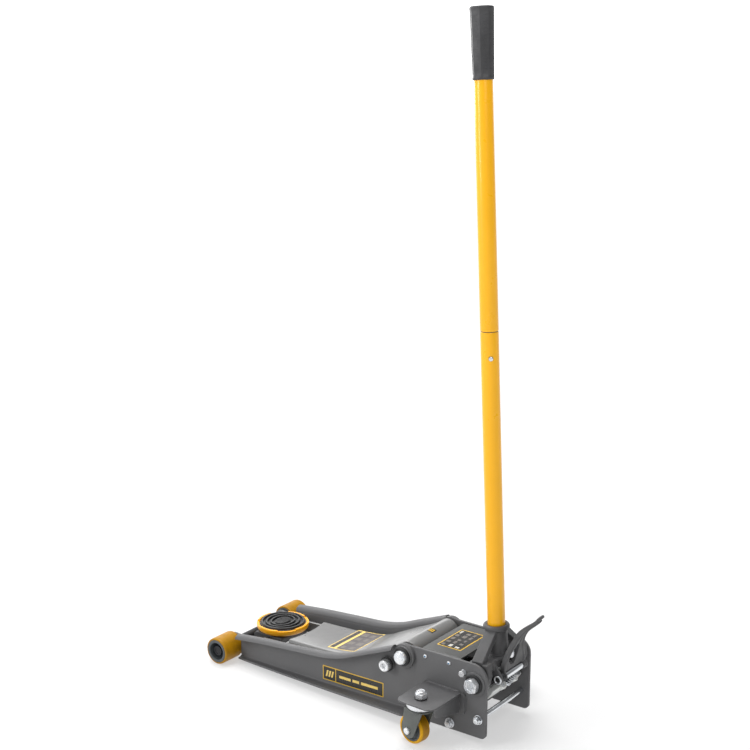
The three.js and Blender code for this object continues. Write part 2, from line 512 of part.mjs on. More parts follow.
add('pump_shaft', turnedY([[0, -54.5], [8.5, -54.5], [8.5, -51], [5, -51], [5, 53], [0, 53]], HANDLE_PIVOT[0] + PUMP_SHAFT[0], HANDLE_PIVOT[1] + PUMP_SHAFT[1], 1, 16), ZINC);
add('pump_roller', turnedY([[5.3, -28], [ROLLER_R, -28], [ROLLER_R, 36.4], [5.3, 36.4]], HANDLE_PIVOT[0] + PUMP_SHAFT[0], HANDLE_PIVOT[1] + PUMP_SHAFT[1], 1, 18), CHROME);
add('pedal_spring', turnedY([[6.2, -43.6], [9.4, -43.6], [9.4, -33.6], [6.2, -33.6]], HANDLE_PIVOT[0] + PUMP_SHAFT[0], HANDLE_PIVOT[1] + PUMP_SHAFT[1], 1, 14), STEEL);
{
  const sx = HANDLE_PIVOT[0] + PUMP_SHAFT[0], sz = HANDLE_PIVOT[1] + PUMP_SHAFT[1];
  const back = [[4, 108], [2.5, 122], [4, 140], [8.5, 160], [15, 180], [25, 200], [36, 213], [47, 222], [60, 234]];
  const side = strip([...back, [70.5, 246.5]], 9.5);
  const profile = plateXZ(side, -33.6, 43.7);
  const outline = plateYZ([[-33.3, 100], [-33.3, 136], [-25, 162], [-14, 190], [-9, 216], [-7.5, 260], [7.5, 260], [9, 216], [17, 190], [31, 160], [43.6, 138], [43.6, 100], [37, 100], [37, 122.6], [-28.3, 122.6], [-28.3, 100]],
    -30, 90, [[[2, 133], [7, 140], [10.5, 150], [11, 160], [9.5, 169], [6, 172], [-1, 168], [-8, 160], [-10, 150], [-6, 141]]]);
  const tip = plateXZ([[63, 238], [68, 233], [73, 247.5], [71.5, 252.5], [67, 250]], -7.5, 7.5);
  const hubs = union(barY(9, -33.3, -28.3, sx, sz, 16), barY(9, 37, 43.6, sx, sz, 16));
  const pedal = cut(union(profile.intersect(outline), hubs, tip), barY(5.4, -60, 60, sx, sz, 12), barY(8.4, -28.3, 36.9, sx, sz, 16),
    box(73, 95, -40, 60, 200, 300));
  add('foot_pedal', pedal, CAST_PAINT);
}

// -------------------------------------------------------------------- handle
const ux = Math.cos(BUTTON_DIR), uy = Math.sin(BUTTON_DIR);
const radial = (r, r0, r1, z, n) => bar(r, [ux * r0, uy * r0, z], [ux * r1, uy * r1, z], n);
{
  const lower = turnedZ([[HANDLE_R - HANDLE_WALL, HANDLE_FOOT], [HANDLE_R, HANDLE_FOOT], [HANDLE_R, HANDLE_JOINT - 1.2], [HANDLE_R - 1, HANDLE_JOINT - 0.2], [HANDLE_R - HANDLE_WALL, HANDLE_JOINT - 0.2]], 0, 0, 24);
  add('handle_lower_tube', cut(lower, radial(4.8, 10, 30, BUTTON_AT, 12)), YELLOW, socket);
  const upper = turnedZ([[13.4, 600], [15.7, 600], [15.7, HANDLE_JOINT + 0.2], [HANDLE_R - 1, HANDLE_JOINT + 0.2], [HANDLE_R, HANDLE_JOINT + 1.2], [HANDLE_R, HANDLE_END], [HANDLE_R - HANDLE_WALL, HANDLE_END], [HANDLE_R - HANDLE_WALL, HANDLE_JOINT + 3], [13.4, HANDLE_JOINT + 1]], 0, 0, 24);
  add('handle_upper_tube', cut(upper, radial(4.8, 10, 30, BUTTON_AT, 12)), YELLOW, socket);
  add('snap_button', union(radial(4.3, 12.9, 19.6, BUTTON_AT, 12), radial(3.2, 19, 20.4, BUTTON_AT, 12)), ZINC, socket);
  add('handle_grip', turnedZ([[0, 1298.4], [HANDLE_R + 0.4, 1298.4], [HANDLE_R + 0.4, GRIP_FOOT], [20.4, GRIP_FOOT], [20.9, GRIP_FOOT + 4], [23.4, GRIP_END - 3], [21.5, GRIP_END], [0, GRIP_END]], 0, 0, 20), RUBBER, socket);
  // release rod below the handle, ending in the ball of the universal joint
  add('release_universal', turnedZ([[0, -6], [3.6, -4.8], [5.6, -2], [6, 0], [5.2, 3], [5, 34.2], [15.6, 34.2], [15.6, 40], [0, 40]], 0, 0, 16), STEEL, socket);
}

// ------------------------------------------------------------------- casters
function caster(tag, side) {
  const [sx, sy] = CASTER_STEM;
  const y = side * sy;
  // folded bracket welded to the plate: top, rear skirt, short front skirt, weld flange
  {
    const o = (v) => side * v;
    const span = (a, b) => [Math.min(o(a), o(b)), Math.max(o(a), o(b))];
    const top = plateXY([[-147, o(88.2)], [-62, o(88.2)], [-62, o(178)], [-66, o(188)], [-76, o(194)], [-133, o(194)], [-143, o(190)], [-147, o(181)]], BRACKET_TOP - 3, BRACKET_TOP);
    const rear = plateYZ([[o(88.2), 55], [o(164), 73], [o(174), 77], [o(178), 84], [o(178), 97], [o(88.2), 97]], -65, -62);
    const frontSkirt = box(-147, -144, ...span(88.2, 181), 86, 97);
    const weldTab = box(-63, -50, ...span(88.2, 91.2), 55, BRACKET_TOP);
    add(`caster_bracket_${tag}`, cut(union(top, rear, frontSkirt, weldTab), barZ(6.4, 60, 120, sx, y, 14)), FRAME_PAINT, root);
  }
  add(`caster_race_${tag}`, turnedZ([[6.4, 80], [24.5, 80], [28.5, 84.5], [28.5, 95.1], [6.4, 95.1]], sx, y, 22), ZINC, root);
  {
    const nut = plateXY(hexPoints(24, sx, y, 0.25), BRACKET_TOP + GAP, 109.5);
    const collar = turnedZ([[0, 109], [11, 109], [8.6, 113.5], [0, 113.5]], sx, y, 16);
    const head = plateXY(hexPoints(15, sx, y, 0.1), 71.8, 75.2);
    add(`caster_stem_${tag}`, union(nut, collar, barZ(6, 73, 116, sx, y, 14), head), ZINC, root);
  }
  const g = new THREE.Group();             // swivels about the stem
  g.position.set(sx, y, 0);
  g.rotation.z = side * CASTER_SWIVEL;
  root.add(g);
  const ax = [-CASTER_TRAIL, CASTER_R];
  const leg = (a, b) => plateXZ(hull([[...ax, 13], [-25, 78.5, 0], [22, 78.5, 0]], 16), a, b);
  const fork = union(barZ(27, 75.5, 79.7, 0, 0, 22), leg(-21.5, -18), leg(18, 21.5));
  add(`caster_fork_${tag}`, cut(fork, barZ(6.4, 50, 90, 0, 0, 14), barY(5.4, -30, 30, ...ax, 12)), CAST_PAINT, g);
  add(`caster_axle_${tag}`, turnedY([[0, -27], [6, -26.6], [7, -25], [7, -21.8], [5, -21.8], [5, 21.8], [7, 21.8], [7, 25], [6, 26.6], [0, 27]], ...ax, 1, 12), ZINC, g);
  const w = CASTER_W / 2;
  add(`caster_wheel_${tag}`, turnedY([[5.4, -17.6], [9, -17.6], [10, -w + 4], [20.5, -w + 4], [21.5, -w], [24.6, -w], [24.6, w], [21.5, w], [20.5, w - 4], [10, w - 4], [9, 17.6], [5.4, 17.6]], ...ax, 1, 20), CORE, g);
  add(`caster_tread_${tag}`, turnedY([[25, -w], [29, -w], [CASTER_R, -w + 4], [CASTER_R, w - 4], [29, w], [25, w]], ...ax, 1, 24), TREAD, g);
}
caster('left', -1);
caster('right', 1);

root.position.x = -CENTRE_X;
root.updateMatrixWorld(true);

export default root;
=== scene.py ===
"""Hydraulic floor jack: fine surfaces, finishes, light and camera round the CAD frame."""
import math
import random

import bmesh
import bpy
import numpy as np
from mathutils import Matrix, Vector


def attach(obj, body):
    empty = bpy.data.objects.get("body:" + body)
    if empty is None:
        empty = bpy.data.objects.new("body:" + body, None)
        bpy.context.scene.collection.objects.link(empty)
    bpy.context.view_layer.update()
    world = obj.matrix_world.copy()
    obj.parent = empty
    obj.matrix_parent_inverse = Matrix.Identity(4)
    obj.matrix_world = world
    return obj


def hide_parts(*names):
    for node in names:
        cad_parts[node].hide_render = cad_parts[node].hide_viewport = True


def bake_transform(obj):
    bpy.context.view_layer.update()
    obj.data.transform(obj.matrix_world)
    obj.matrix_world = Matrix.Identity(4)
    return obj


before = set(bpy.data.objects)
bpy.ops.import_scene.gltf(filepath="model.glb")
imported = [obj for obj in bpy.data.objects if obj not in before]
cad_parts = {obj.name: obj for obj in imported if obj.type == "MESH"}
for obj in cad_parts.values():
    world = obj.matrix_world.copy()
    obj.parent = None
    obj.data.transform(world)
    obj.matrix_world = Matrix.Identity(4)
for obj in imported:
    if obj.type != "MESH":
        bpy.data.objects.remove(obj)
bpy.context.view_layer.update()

scene = bpy.context.scene
PI = math.pi
rad = math.radians

# ---------------------------------------------------------------- coordinates
TILT = rad(1.4)
CT, ST = math.cos(TILT), math.sin(TILT)
OX = 317.2
HP = (-28.0, 110.0)
LEAN = rad(-2.81)
STEM = (-109.0, 159.0)
SWIVEL = rad(8)


def from_chassis(p):
    """Chassis layout (mm, square to the side plates) to the row frame (m)."""
    dx, dz = p[:, 0] + 672, p[:, 2] - 30
    X = -672 + dx * CT - dz * ST
    Z = 30 + dx * ST + dz * CT
    return np.stack([X + OX, p[:, 1], Z], 1) / 1000


def from_floor(p):
    return np.stack([p[:, 0] + OX, p[:, 1], p[:, 2]], 1) / 1000


def from_handle(p):
    """Leaning frame of the handle, from the socket pivot."""
    c, s = math.cos(LEAN), math.sin(LEAN)
    q = np.stack([HP[0] + p[:, 0] * c + p[:, 2] * s, p[:, 1], HP[1] - p[:, 0] * s + p[:, 2] * c], 1)
    return from_chassis(q)


def from_caster(side):
    a = side * SWIVEL
    c, s = math.cos(a), math.sin(a)

    def f(p):
        q = np.stack([STEM[0] + p[:, 0] * c - p[:, 1] * s, side * STEM[1] + p[:, 0] * s + p[:, 1] * c, p[:, 2]], 1)
        return from_floor(q)
    return f


# ------------------------------------------------------------------ 2-D tools
def pchip(rows):
    xs = np.array([r[0] for r in rows], float)
    ys = np.array([r[1] for r in rows], float)
    h = np.diff(xs)
    d = np.diff(ys) / h
    m = np.zeros(len(xs))
    for i in range(1, len(xs) - 1):
        if d[i - 1] * d[i] > 0:
            w1, w2 = 2 * h[i] + h[i - 1], h[i] + 2 * h[i - 1]
            m[i] = (w1 + w2) / (w1 / d[i - 1] + w2 / d[i])
    m[0], m[-1] = d[0], d[-1]

    def f(x):
        x = min(max(x, xs[0]), xs[-1])
        i = int(min(max(np.searchsorted(xs, x) - 1, 0), len(h) - 1))
        t = (x - xs[i]) / h[i]
        return float((2 * t ** 3 - 3 * t ** 2 + 1) * ys[i] + (t ** 3 - 2 * t ** 2 + t) * h[i] * m[i]
                     + (-2 * t ** 3 + 3 * t ** 2) * ys[i + 1] + (t ** 3 - t ** 2) * h[i] * m[i + 1])
    return f


def linear(rows):
    xs, ys = [r[0] for r in rows], [r[1] for r in rows]
    return lambda x: float(np.interp(x, xs, ys))


def rounded(pts, r, closed=True, seg=4):
    """Corners of a 2-D outline replaced by arcs. r is a number, or one per point."""
    n = len(pts)
    out = []
    for i in range(n):
        p = np.array(pts[i], float)
        ri = r[i] if hasattr(r, "__len__") else r
        if (not closed and i in (0, n - 1)) or ri <= 0:
            out.append(tuple(p))
            continue
        a, b = np.array(pts[i - 1], float), np.array(pts[(i + 1) % n], float)
        u, v = a - p, b - p
        lu, lv = np.linalg.norm(u), np.linalg.norm(v)
        if lu < 1e-6 or lv < 1e-6:
            out.append(tuple(p))
            continue
        u, v = u / lu, v / lv
        ang = math.acos(max(-1, min(1, float(u @ v))))
        if ang > rad(168) or ang < rad(4):
            out.append(tuple(p))
            continue
        cutlen = min(ri / math.tan(ang / 2), 0.46 * lu, 0.46 * lv)
        rr = cutlen * math.tan(ang / 2)
        c = p + (u + v) / np.linalg.norm(u + v) * (rr / math.sin(ang / 2))
        s, e = p + u * cutlen, p + v * cutlen
        a0 = math.atan2(s[1] - c[1], s[0] - c[0])
        a1 = math.atan2(e[1] - c[1], e[0] - c[0])
        da = (a1 - a0 + PI) % (2 * PI) - PI
        k = max(2, int(math.ceil(abs(da) / rad(90) * seg)))
        for j in range(k + 1):
            t = a0 + da * j / k
            out.append((c[0] + rr * math.cos(t), c[1] + rr * math.sin(t)))
    return out


def area2(pts):
    a = np.array(pts, float)
    b = np.roll(a, -1, 0)
    return 0.5 * float(np.sum(a[:, 0] * b[:, 1] - b[:, 0] * a[:, 1]))


def inset(pts, d):
    """Outline (counter-clockwise) moved inwards by d."""
    p = np.array(pts, float)
    e = np.roll(p, -1, 0) - p
    L = np.linalg.norm(e, axis=1, keepdims=True)
    L[L < 1e-9] = 1
    e = e / L
    nrm = np.stack([-e[:, 1], e[:, 0]], 1)
    prev = np.roll(nrm, 1, 0)
    m = nrm + prev
    k = 1 + np.sum(nrm * prev, 1, keepdims=True)
    k[k < 0.3] = 0.3
    return p + m / k * d


def circle(r, cx=0.0, cy=0.0, n=48, start=0.0):
    return [(cx + r * math.cos(start + 2 * PI * i / n), cy + r * math.sin(start + 2 * PI * i / n)) for i in range(n)]


def hexagon(af, cx=0.0, cy=0.0, turn=0.0):
    return [(cx + af / math.sqrt(3) * math.cos(turn + i * PI / 3), cy + af / math.sqrt(3) * math.sin(turn + i * PI / 3)) for i in range(6)]


def hull(discs, n=48):
    pts = []
    for x, y, r in discs:
        pts += circle(r, x, y, n) if r > 0 else [(x, y)]
    pts = sorted(set(pts))

    def half(lst):
        h = []
        for p in lst:
            while len(h) >= 2 and (h[-1][0] - h[-2][0]) * (p[1] - h[-2][1]) - (h[-1][1] - h[-2][1]) * (p[0] - h[-2][0]) <= 1e-9:
                h.pop()
            h.append(p)
        return h[:-1]
    return half(pts) + half(pts[::-1])


def strip(line, t):
    left, right = [], []
    ts = t if hasattr(t, "__len__") else [t] * len(line)
    for i in range(len(line)):
        a, b = line[max(i - 1, 0)], line[min(i + 1, len(line) - 1)]
        d = math.hypot(b[0] - a[0], b[1] - a[1])
        nx, ny = -(b[1] - a[1]) / d, (b[0] - a[0]) / d
        left.append((line[i][0] + nx * ts[i] / 2, line[i][1] + ny * ts[i] / 2))
        right.append((line[i][0] - nx * ts[i] / 2, line[i][1] - ny * ts[i] / 2))
    out = left + right[::-1]
    return out if area2(out) > 0 else out[::-1]


def smooth_line(pts, step=4.0):
    """Catmull-Rom curve through 2-D or 3-D points."""
    P = [np.array(p, float) for p in pts]
    P = [2 * P[0] - P[1]] + P + [2 * P[-1] - P[-2]]
    out = []
    for i in range(1, len(P) - 2):
        k = max(1, int(np.linalg.norm(P[i + 1] - P[i]) / step))
        for j in range(k):
            t = j / k
            out.append(tuple(0.5 * ((2 * P[i]) + (-P[i - 1] + P[i + 1]) * t + (2 * P[i - 1] - 5 * P[i] + 4 * P[i + 1] - P[i + 2]) * t * t
                                    + (-P[i - 1] + 3 * P[i] - 3 * P[i + 1] + P[i + 2]) * t ** 3)))
    out.append(tuple(P[-2]))
    return out


# ------------------------------------------------------------------ 3-D solids
class Solid:
    def __init__(self, v=(), f=()):
        self.v = [tuple(map(float, p)) for p in v]
        self.f = [tuple(x) for x in f]

    def add(self, other):
        k = len(self.v)
        self.v += other.v
        self.f += [tuple(i + k for i in x) for x in other.f]
        return self


def rings(loops, closed_start=True, closed_end=True):
    n = len(loops[0])
    v = [tuple(p) for lp in loops for p in lp]
    f = []
    for k in range(len(loops) - 1):
        for i in range(n):
            j = (i + 1) % n
            f.append((k * n + i, k * n + j, (k + 1) * n + j, (k + 1) * n + i))
    if closed_start:
        f.append(tuple(range(n))[::-1])
    if closed_end:
        f.append(tuple((len(loops) - 1) * n + i for i in range(n)))
    return Solid(v, f)


def basis(d):
    d = np.array(d, float)
    d = d / np.linalg.norm(d)
    a = np.array([0, 0, 1.0]) if abs(d[2]) < 0.9 else np.array([1.0, 0, 0])
    e1 = np.cross(a, d)
    e1 /= np.linalg.norm(e1)
    return d, e1, np.cross(d, e1)


def turned(profile, o, d, n=64, fil=0.4, arc=3):
    """Body of revolution. profile is (radius, height along d) from axis to axis, or closed on itself."""
    o = np.array(o, float)
    d, e1, e2 = basis(d)
    axis = profile[0][0] == 0 and profile[-1][0] == 0
    pts = rounded(profile, fil, closed=not axis, seg=arc) if fil > 0 else [tuple(p) for p in profile]
    v, f = [], []
    rows = []
    for r, h in pts:
        if r <= 1e-9:
            rows.append([len(v)])
            v.append(tuple(o + d * h))
        else:
            rows.append(list(range(len(v), len(v) + n)))
            for i in range(n):
                t = 2 * PI * i / n
                v.append(tuple(o + d * h + (e1 * math.cos(t) + e2 * math.sin(t)) * r))
    pairs = list(zip(rows, rows[1:])) + ([] if axis else [(rows[-1], rows[0])])
    for a, b in pairs:
        if len(a) == 1 and len(b) == 1:
            continue
        for i in range(n):
            j = (i + 1) % n
            if len(a) == 1:
                f.append((a[0], b[j], b[i]))
            elif len(b) == 1:
                f.append((a[i], a[j], b[0]))
            else:
                f.append((a[i], a[j], b[j], b[i]))
    return Solid(v, f)


def bar(r, a, b, n=32, fil=0.0):
    a, b = np.array(a, float), np.array(b, float)
    L = float(np.linalg.norm(b - a))
    return turned([(0, 0), (r, 0), (r, L), (0, L)], a, b - a, n, fil)


def ybar(r, y0, y1, x, z, n=48, fil=0.0):
    return bar(r, (x, y0, z), (x, y1, z), n, fil)


def prism(pts, a, b, plane="xz", bev=0.6, seg=3):
    """Outline pushed from a to b along the plane's normal, with rounded edges."""
    pts = [tuple(p) for p in pts]
    if area2(pts) < 0:
        pts = pts[::-1]
    if a > b:
        a, b = b, a
    bev = min(bev, 0.45 * (b - a))
    levels = []
    if bev > 0:
        for k in range(seg + 1):
            t = k / seg * PI / 2
            levels.append((a + bev * (1 - math.sin(t)), bev * (1 - math.cos(t))))
        levels = levels[::-1]
        levels = [(a + bev * (1 - math.cos(k / seg * PI / 2)), bev * (1 - math.sin(k / seg * PI / 2))) for k in range(seg + 1)]
        levels += [(b - bev * (1 - math.cos(k / seg * PI / 2)), bev * (1 - math.sin(k / seg * PI / 2))) for k in range(seg, -1, -1)]
    else:
        levels = [(a, 0), (b, 0)]
    loops = []
    for h, ins in levels:
        q = inset(pts, ins) if ins > 0 else np.array(pts, float)
        if plane == "xz":
            loops.append([(p[0], h, p[1]) for p in q])
        elif plane == "yz":
            loops.append([(h, p[0], p[1]) for p in q])
        else:
            loops.append([(p[0], p[1], h) for p in q])
    return rings(loops)


def block(x0, x1, y0, y1, z0, z1, bev=0.6, corner=0.6):
    return prism(rounded([(x0, z0), (x1, z0), (x1, z1), (x0, z1)], corner, seg=3), y0, y1, "xz", bev)


def tube_path(path, r, n=10, closed=False, radii=None):
    """Round wire along 3-D points."""
    P = [np.array(p, float) for p in path]
    m = len(P)
    loops = []
    prev = None
    for i in range(m):
        a = P[(i - 1) % m] if closed or i > 0 else P[i]
        b = P[(i + 1) % m] if closed or i < m - 1 else P[i]
        t = (b - a) / np.linalg.norm(b - a)
        if prev is None:
            _, e1, e2 = basis(t)
        else:
            e1 = prev - t * float(prev @ t)
            e1 /= np.linalg.norm(e1)
            e2 = np.cross(t, e1)
        prev = e1
        rr = radii[i] if radii else r
        loops.append([tuple(P[i] + (e1 * math.cos(2 * PI * k / n) + e2 * math.sin(2 * PI * k / n)) * rr) for k in range(n)])
    if closed:
        loops.append(loops[0])
        s = rings(loops, False, False)
        return s
    return rings(loops)


def helix(a, b, R, wire, turns, n=8, per=18, ends=1.0):
    """Coil spring from a to b with closed end turns."""
    a, b = np.array(a, float), np.array(b, float)
    L = float(np.linalg.norm(b - a))
    d, e1, e2 = basis(b - a)
    path = []
    total = turns + 2 * ends
    N = int(total * per)
    for i in range(N + 1):
        q = i / per
        if q < ends:
            h = wire * (1 + 2.0 * q / ends * 0.9) if ends else 0
            h = wire + q * 2 * wire * 0.98
        elif q > total - ends:
            h = L - wire - (total - q) * 2 * wire * 0.98
        else:
            h0, h1 = wire + ends * 2 * wire * 0.98, L - wire - ends * 2 * wire * 0.98
            h = h0 + (h1 - h0) * (q - ends) / turns
        t = 2 * PI * q
        path.append(tuple(a + d * h + (e1 * math.cos(t) + e2 * math.sin(t)) * R))
    return tube_path(path, wire, n)


def sweep(sections):
    """Closed body through matching section loops."""
    return rings(sections)


# ----------------------------------------------------------- meshes and pieces
def raw_mesh(solid, name="tmp"):
    me = bpy.data.meshes.new(name)
    me.from_pydata(solid.v, [], solid.f)
    bm = bmesh.new()
    bm.from_mesh(me)
    bmesh.ops.remove_doubles(bm, verts=bm.verts, dist=1e-4)
    bmesh.ops.recalc_face_normals(bm, faces=bm.faces)
    bm.to_mesh(me)
    bm.free()
    return me


def evaluated(ob):
    dg = bpy.context.evaluated_depsgraph_get()
    me = bpy.data.meshes.new_from_object(ob.evaluated_get(dg), preserve_all_data_layers=False, depsgraph=dg)
    return me


def csg(base, items):
    """base and items are Solids or meshes; items are ('+'|'-'|'&', thing)."""
    def ob_of(thing):
        me = thing if isinstance(thing, bpy.types.Mesh) else raw_mesh(thing)
        o = bpy.data.objects.new("tmp", me)
        scene.collection.objects.link(o)
        return o
    main = ob_of(base)
    tools = []
    for op, thing in items:
        t = ob_of(thing)
        t.hide_render = True
        tools.append(t)
        m = main.modifiers.new("b", "BOOLEAN")
        m.operation = {"+": "UNION", "-": "DIFFERENCE", "&": "INTERSECT"}[op]
        m.solver = "MANIFOLD"
        m.object = t
    me = evaluated(main)
    if len(me.polygons) == 0:
        for m in main.modifiers:
            m.solver = "EXACT"
        me = evaluated(main)
    for o in [main] + tools:
        bpy.data.objects.remove(o)
    return me


def cast_mesh(parts, cuts=(), voxel=1.0, passes=5, factor=0.6):
    """Rough-cast skin: parts grown together, edges and inner corners rounded."""
    me = csg(parts[0], [("+", p) for p in parts[1:]] + [("-", c) for c in cuts])
    o = bpy.data.objects.new("tmp", me)
    scene.collection.objects.link(o)
    m = o.modifiers.new("r", "REMESH")
    m.mode = "VOXEL"
    m.voxel_size = voxel * 1
    m.adaptivity = 0.0
    s = o.modifiers.new("s", "SMOOTH")
    s.factor = factor
    s.iterations = passes
    out = evaluated(o)
    bpy.data.objects.remove(o)
    return out


def place(mesh, transform):
    n = len(mesh.vertices)
    co = np.zeros(n * 3)
    mesh.vertices.foreach_get("co", co)
    out = transform(co.reshape(-1, 3))
    mesh.vertices.foreach_set("co", out.astype(np.float32).ravel())
    mesh.update()
    return mesh


def clean(mesh, dist=2e-6):
    bm = bmesh.new()
    bm.from_mesh(mesh)
    bmesh.ops.remove_doubles(bm, verts=bm.verts, dist=dist)
    bmesh.ops.dissolve_degenerate(bm, edges=bm.edges, dist=1e-6)
    loose = [v for v in bm.verts if not v.link_faces]
    bmesh.ops.delete(bm, geom=loose, context="VERTS")
    bm.normal_update()
    bm.to_mesh(mesh)
    bm.free()
    return mesh


def piece(name, thing, transform, body, material, replaces=(), angle=32, ride=True):
    me = thing if isinstance(thing, bpy.types.Mesh) else raw_mesh(thing, name)
    place(me, transform)
    clean(me)
    me.name = name
    me.materials.clear()
    me.materials.append(material)
    me.polygons.foreach_set("material_index", [0] * len(me.polygons))
    me.polygons.foreach_set("use_smooth", [True] * len(me.polygons))
    if angle < 180:
        me.set_sharp_from_angle(angle=rad(angle))
    o = bpy.data.objects.new(name, me)
    scene.collection.objects.link(o)
    if ride:
        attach(o, body)
    if replaces:
        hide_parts(*replaces)
    return o


# ------------------------------------------------------------------- finishes
def lin(c):
    c = c / 255
    return c / 12.92 if c <= 0.04045 else ((c + 0.055) / 1.055) ** 2.4


def rgb(r, g, b):
    return (lin(r), lin(g), lin(b), 1)


class Tree:
    def __init__(self, name):
        self.mat = bpy.data.materials.new(name)
        self.mat.use_nodes = True
        self.nt = self.mat.node_tree
        self.nt.nodes.clear()
        self.out = self.node("ShaderNodeOutputMaterial")
        self.bsdf = self.node("ShaderNodeBsdfPrincipled")
        self.link(self.bsdf.outputs[0], self.out.inputs["Surface"])
        self.coord = self.node("ShaderNodeTexCoord")

    def node(self, kind, **props):
        n = self.nt.nodes.new(kind)
        for k, v in props.items():
            setattr(n, k, v)
        return n

    def link(self, a, b):
        self.nt.links.new(a, b)

    def noise(self, scale, detail=4, rough=0.55, stretch=None, distort=0.0):
        n = self.node("ShaderNodeTexNoise")
        n.inputs["Scale"].default_value = scale
        n.inputs["Detail"].default_value = detail
        n.inputs["Roughness"].default_value = rough
        n.inputs["Distortion"].default_value = distort
        if stretch:
            m = self.node("ShaderNodeMapping")
            m.inputs["Scale"].default_value = stretch
            self.link(self.coord.outputs["Object"], m.inputs["Vector"])
            self.link(m.outputs[0], n.inputs["Vector"])
        else:
            self.link(self.coord.outputs["Object"], n.inputs["Vector"])
        return n.outputs["Fac"]

    def ramp(self, src, stops):
        r = self.node("ShaderNodeValToRGB")
        el = r.color_ramp.elements
        el[0].position, el[0].color = stops[0]
        el[1].position, el[1].color = stops[-1]
        for pos, col in stops[1:-1]:
            e = el.new(pos)
            e.color = col
        self.link(src, r.inputs[0])
        return r.outputs[0]

    def mix(self, fac, a, b, mode="MIX"):
        m = self.node("ShaderNodeMix", data_type="RGBA", blend_type=mode)
        for s, v in (("Factor", fac), ("A", a), ("B", b)):
            sock = [i for i in m.inputs if i.name == s and i.type == ("VALUE" if s == "Factor" else "RGBA")][0]
            if isinstance(v, (int, float, tuple)):
                sock.default_value = v
            else:
                self.link(v, sock)
        return [o for o in m.outputs if o.type == "RGBA"][0]

    def math(self, op, a, b=None):
        m = self.node("ShaderNodeMath", operation=op)
        for i, v in enumerate((a, b)):
            if v is None:
                continue
            if isinstance(v, (int, float)):
                m.inputs[i].default_value = v
            else:
                self.link(v, m.inputs[i])
        return m.outputs[0]

    def span(self, src, lo, hi, a=0.0, b=1.0):
        m = self.node("ShaderNodeMapRange")
        m.inputs["From Min"].default_value = lo
        m.inputs["From Max"].default_value = hi
        m.inputs["To Min"].default_value = a
        m.inputs["To Max"].default_value = b
        self.link(src, m.inputs["Value"])
        return m.outputs[0]

    def edges(self, radius=0.0012):
        """Bright along convex edges: edge wear, partly a painted highlight where edges catch the light."""
        b = self.node("ShaderNodeBevel", samples=4)
        b.inputs["Radius"].default_value = radius
        g = self.node("ShaderNodeNewGeometry")
        d = self.node("ShaderNodeVectorMath", operation="DOT_PRODUCT")
        self.link(b.outputs[0], d.inputs[0])
        self.link(g.outputs["Normal"], d.inputs[1])
        return self.span(d.outputs["Value"], 0.995, 0.80)

    def bump(self, height, strength, distance=0.001):
        b = self.node("ShaderNodeBump")
        b.inputs["Strength"].default_value = strength
        b.inputs["Distance"].default_value = distance
        self.link(height, b.inputs["Height"])
        self.link(b.outputs[0], self.bsdf.inputs["Normal"])
        return b


def paint(name, base, rough=0.38, vary=0.12, grain=0.25, edge_wear_and_highlight=0.25, coat=0.0, coat_rough=0.12, mottle=0.18, edge=(0.55, 0.56, 0.57, 1), grain_scale=900, spec=0.5):
    t = Tree(name)
    dark = tuple(c * (1 - vary) for c in base[:3]) + (1,)
    light = tuple(min(1, c * (1 + vary)) for c in base[:3]) + (1,)
    big = t.noise(9, 4, 0.6)
    col = t.ramp(big, [(0.3, dark), (0.7, light)])
    fine = t.noise(260, 3, 0.6)
    col = t.mix(t.span(fine, 0.3, 0.75, 0.0, mottle), col, tuple(c * 0.7 for c in base[:3]) + (1,))
    # edge wear and painted edge highlight: convex edges mixed toward the edge colour, broken up by noise
    if edge_wear_and_highlight > 0:
        e = t.edges(0.0011)
        brk = t.noise(120, 5, 0.7)
        mask = t.math("MULTIPLY", e, t.span(brk, 0.42, 0.66, 0, edge_wear_and_highlight))
        col = t.mix(mask, col, edge)
    t.link(col, t.bsdf.inputs["Base Color"])
    t.link(t.span(t.noise(34, 4, 0.6), 0.3, 0.7, rough - 0.06, rough + 0.08), t.bsdf.inputs["Roughness"])
    t.bsdf.inputs["Specular IOR Level"].default_value = spec
    t.bsdf.inputs["Coat Weight"].default_value = coat
    t.bsdf.inputs["Coat Roughness"].default_value = coat_rough
    h = t.mix(0.35, t.noise(grain_scale, 2, 0.5), t.noise(grain_scale / 6, 3, 0.5))
    t.bump(h, grain, 0.0006)
    return t.mat


def cast(name, base, rough=0.62, grain=0.6, edge_wear_and_highlight=0.3):
    t = Tree(name)
    big = t.noise(14, 4, 0.6)
    col = t.ramp(big, [(0.3, tuple(c * 0.82 for c in base[:3]) + (1,)), (0.7, tuple(c * 1.2 for c in base[:3]) + (1,))])
    pits = t.noise(420, 4, 0.7)
    col = t.mix(t.span(pits, 0.55, 0.72, 0, 0.35), col, tuple(c * 0.45 for c in base[:3]) + (1,))
    # edge wear and painted edge highlight: convex edges mixed toward a light grey, broken up by noise
    if edge_wear_and_highlight > 0:
        mask = t.math("MULTIPLY", t.edges(0.0018), t.span(t.noise(90, 5, 0.7), 0.4, 0.65, 0, edge_wear_and_highlight))
        col = t.mix(mask, col, (0.42, 0.42, 0.42, 1))
    t.link(col, t.bsdf.inputs["Base Color"])
    t.link(t.span(t.noise(60, 4, 0.6), 0.3, 0.7, rough - 0.08, rough + 0.12), t.bsdf.inputs["Roughness"])
    h = t.mix(0.5, t.noise(330, 4, 0.65), t.noise(90, 4, 0.6))
    t.bump(h, grain, 0.0011)
    return t.mat


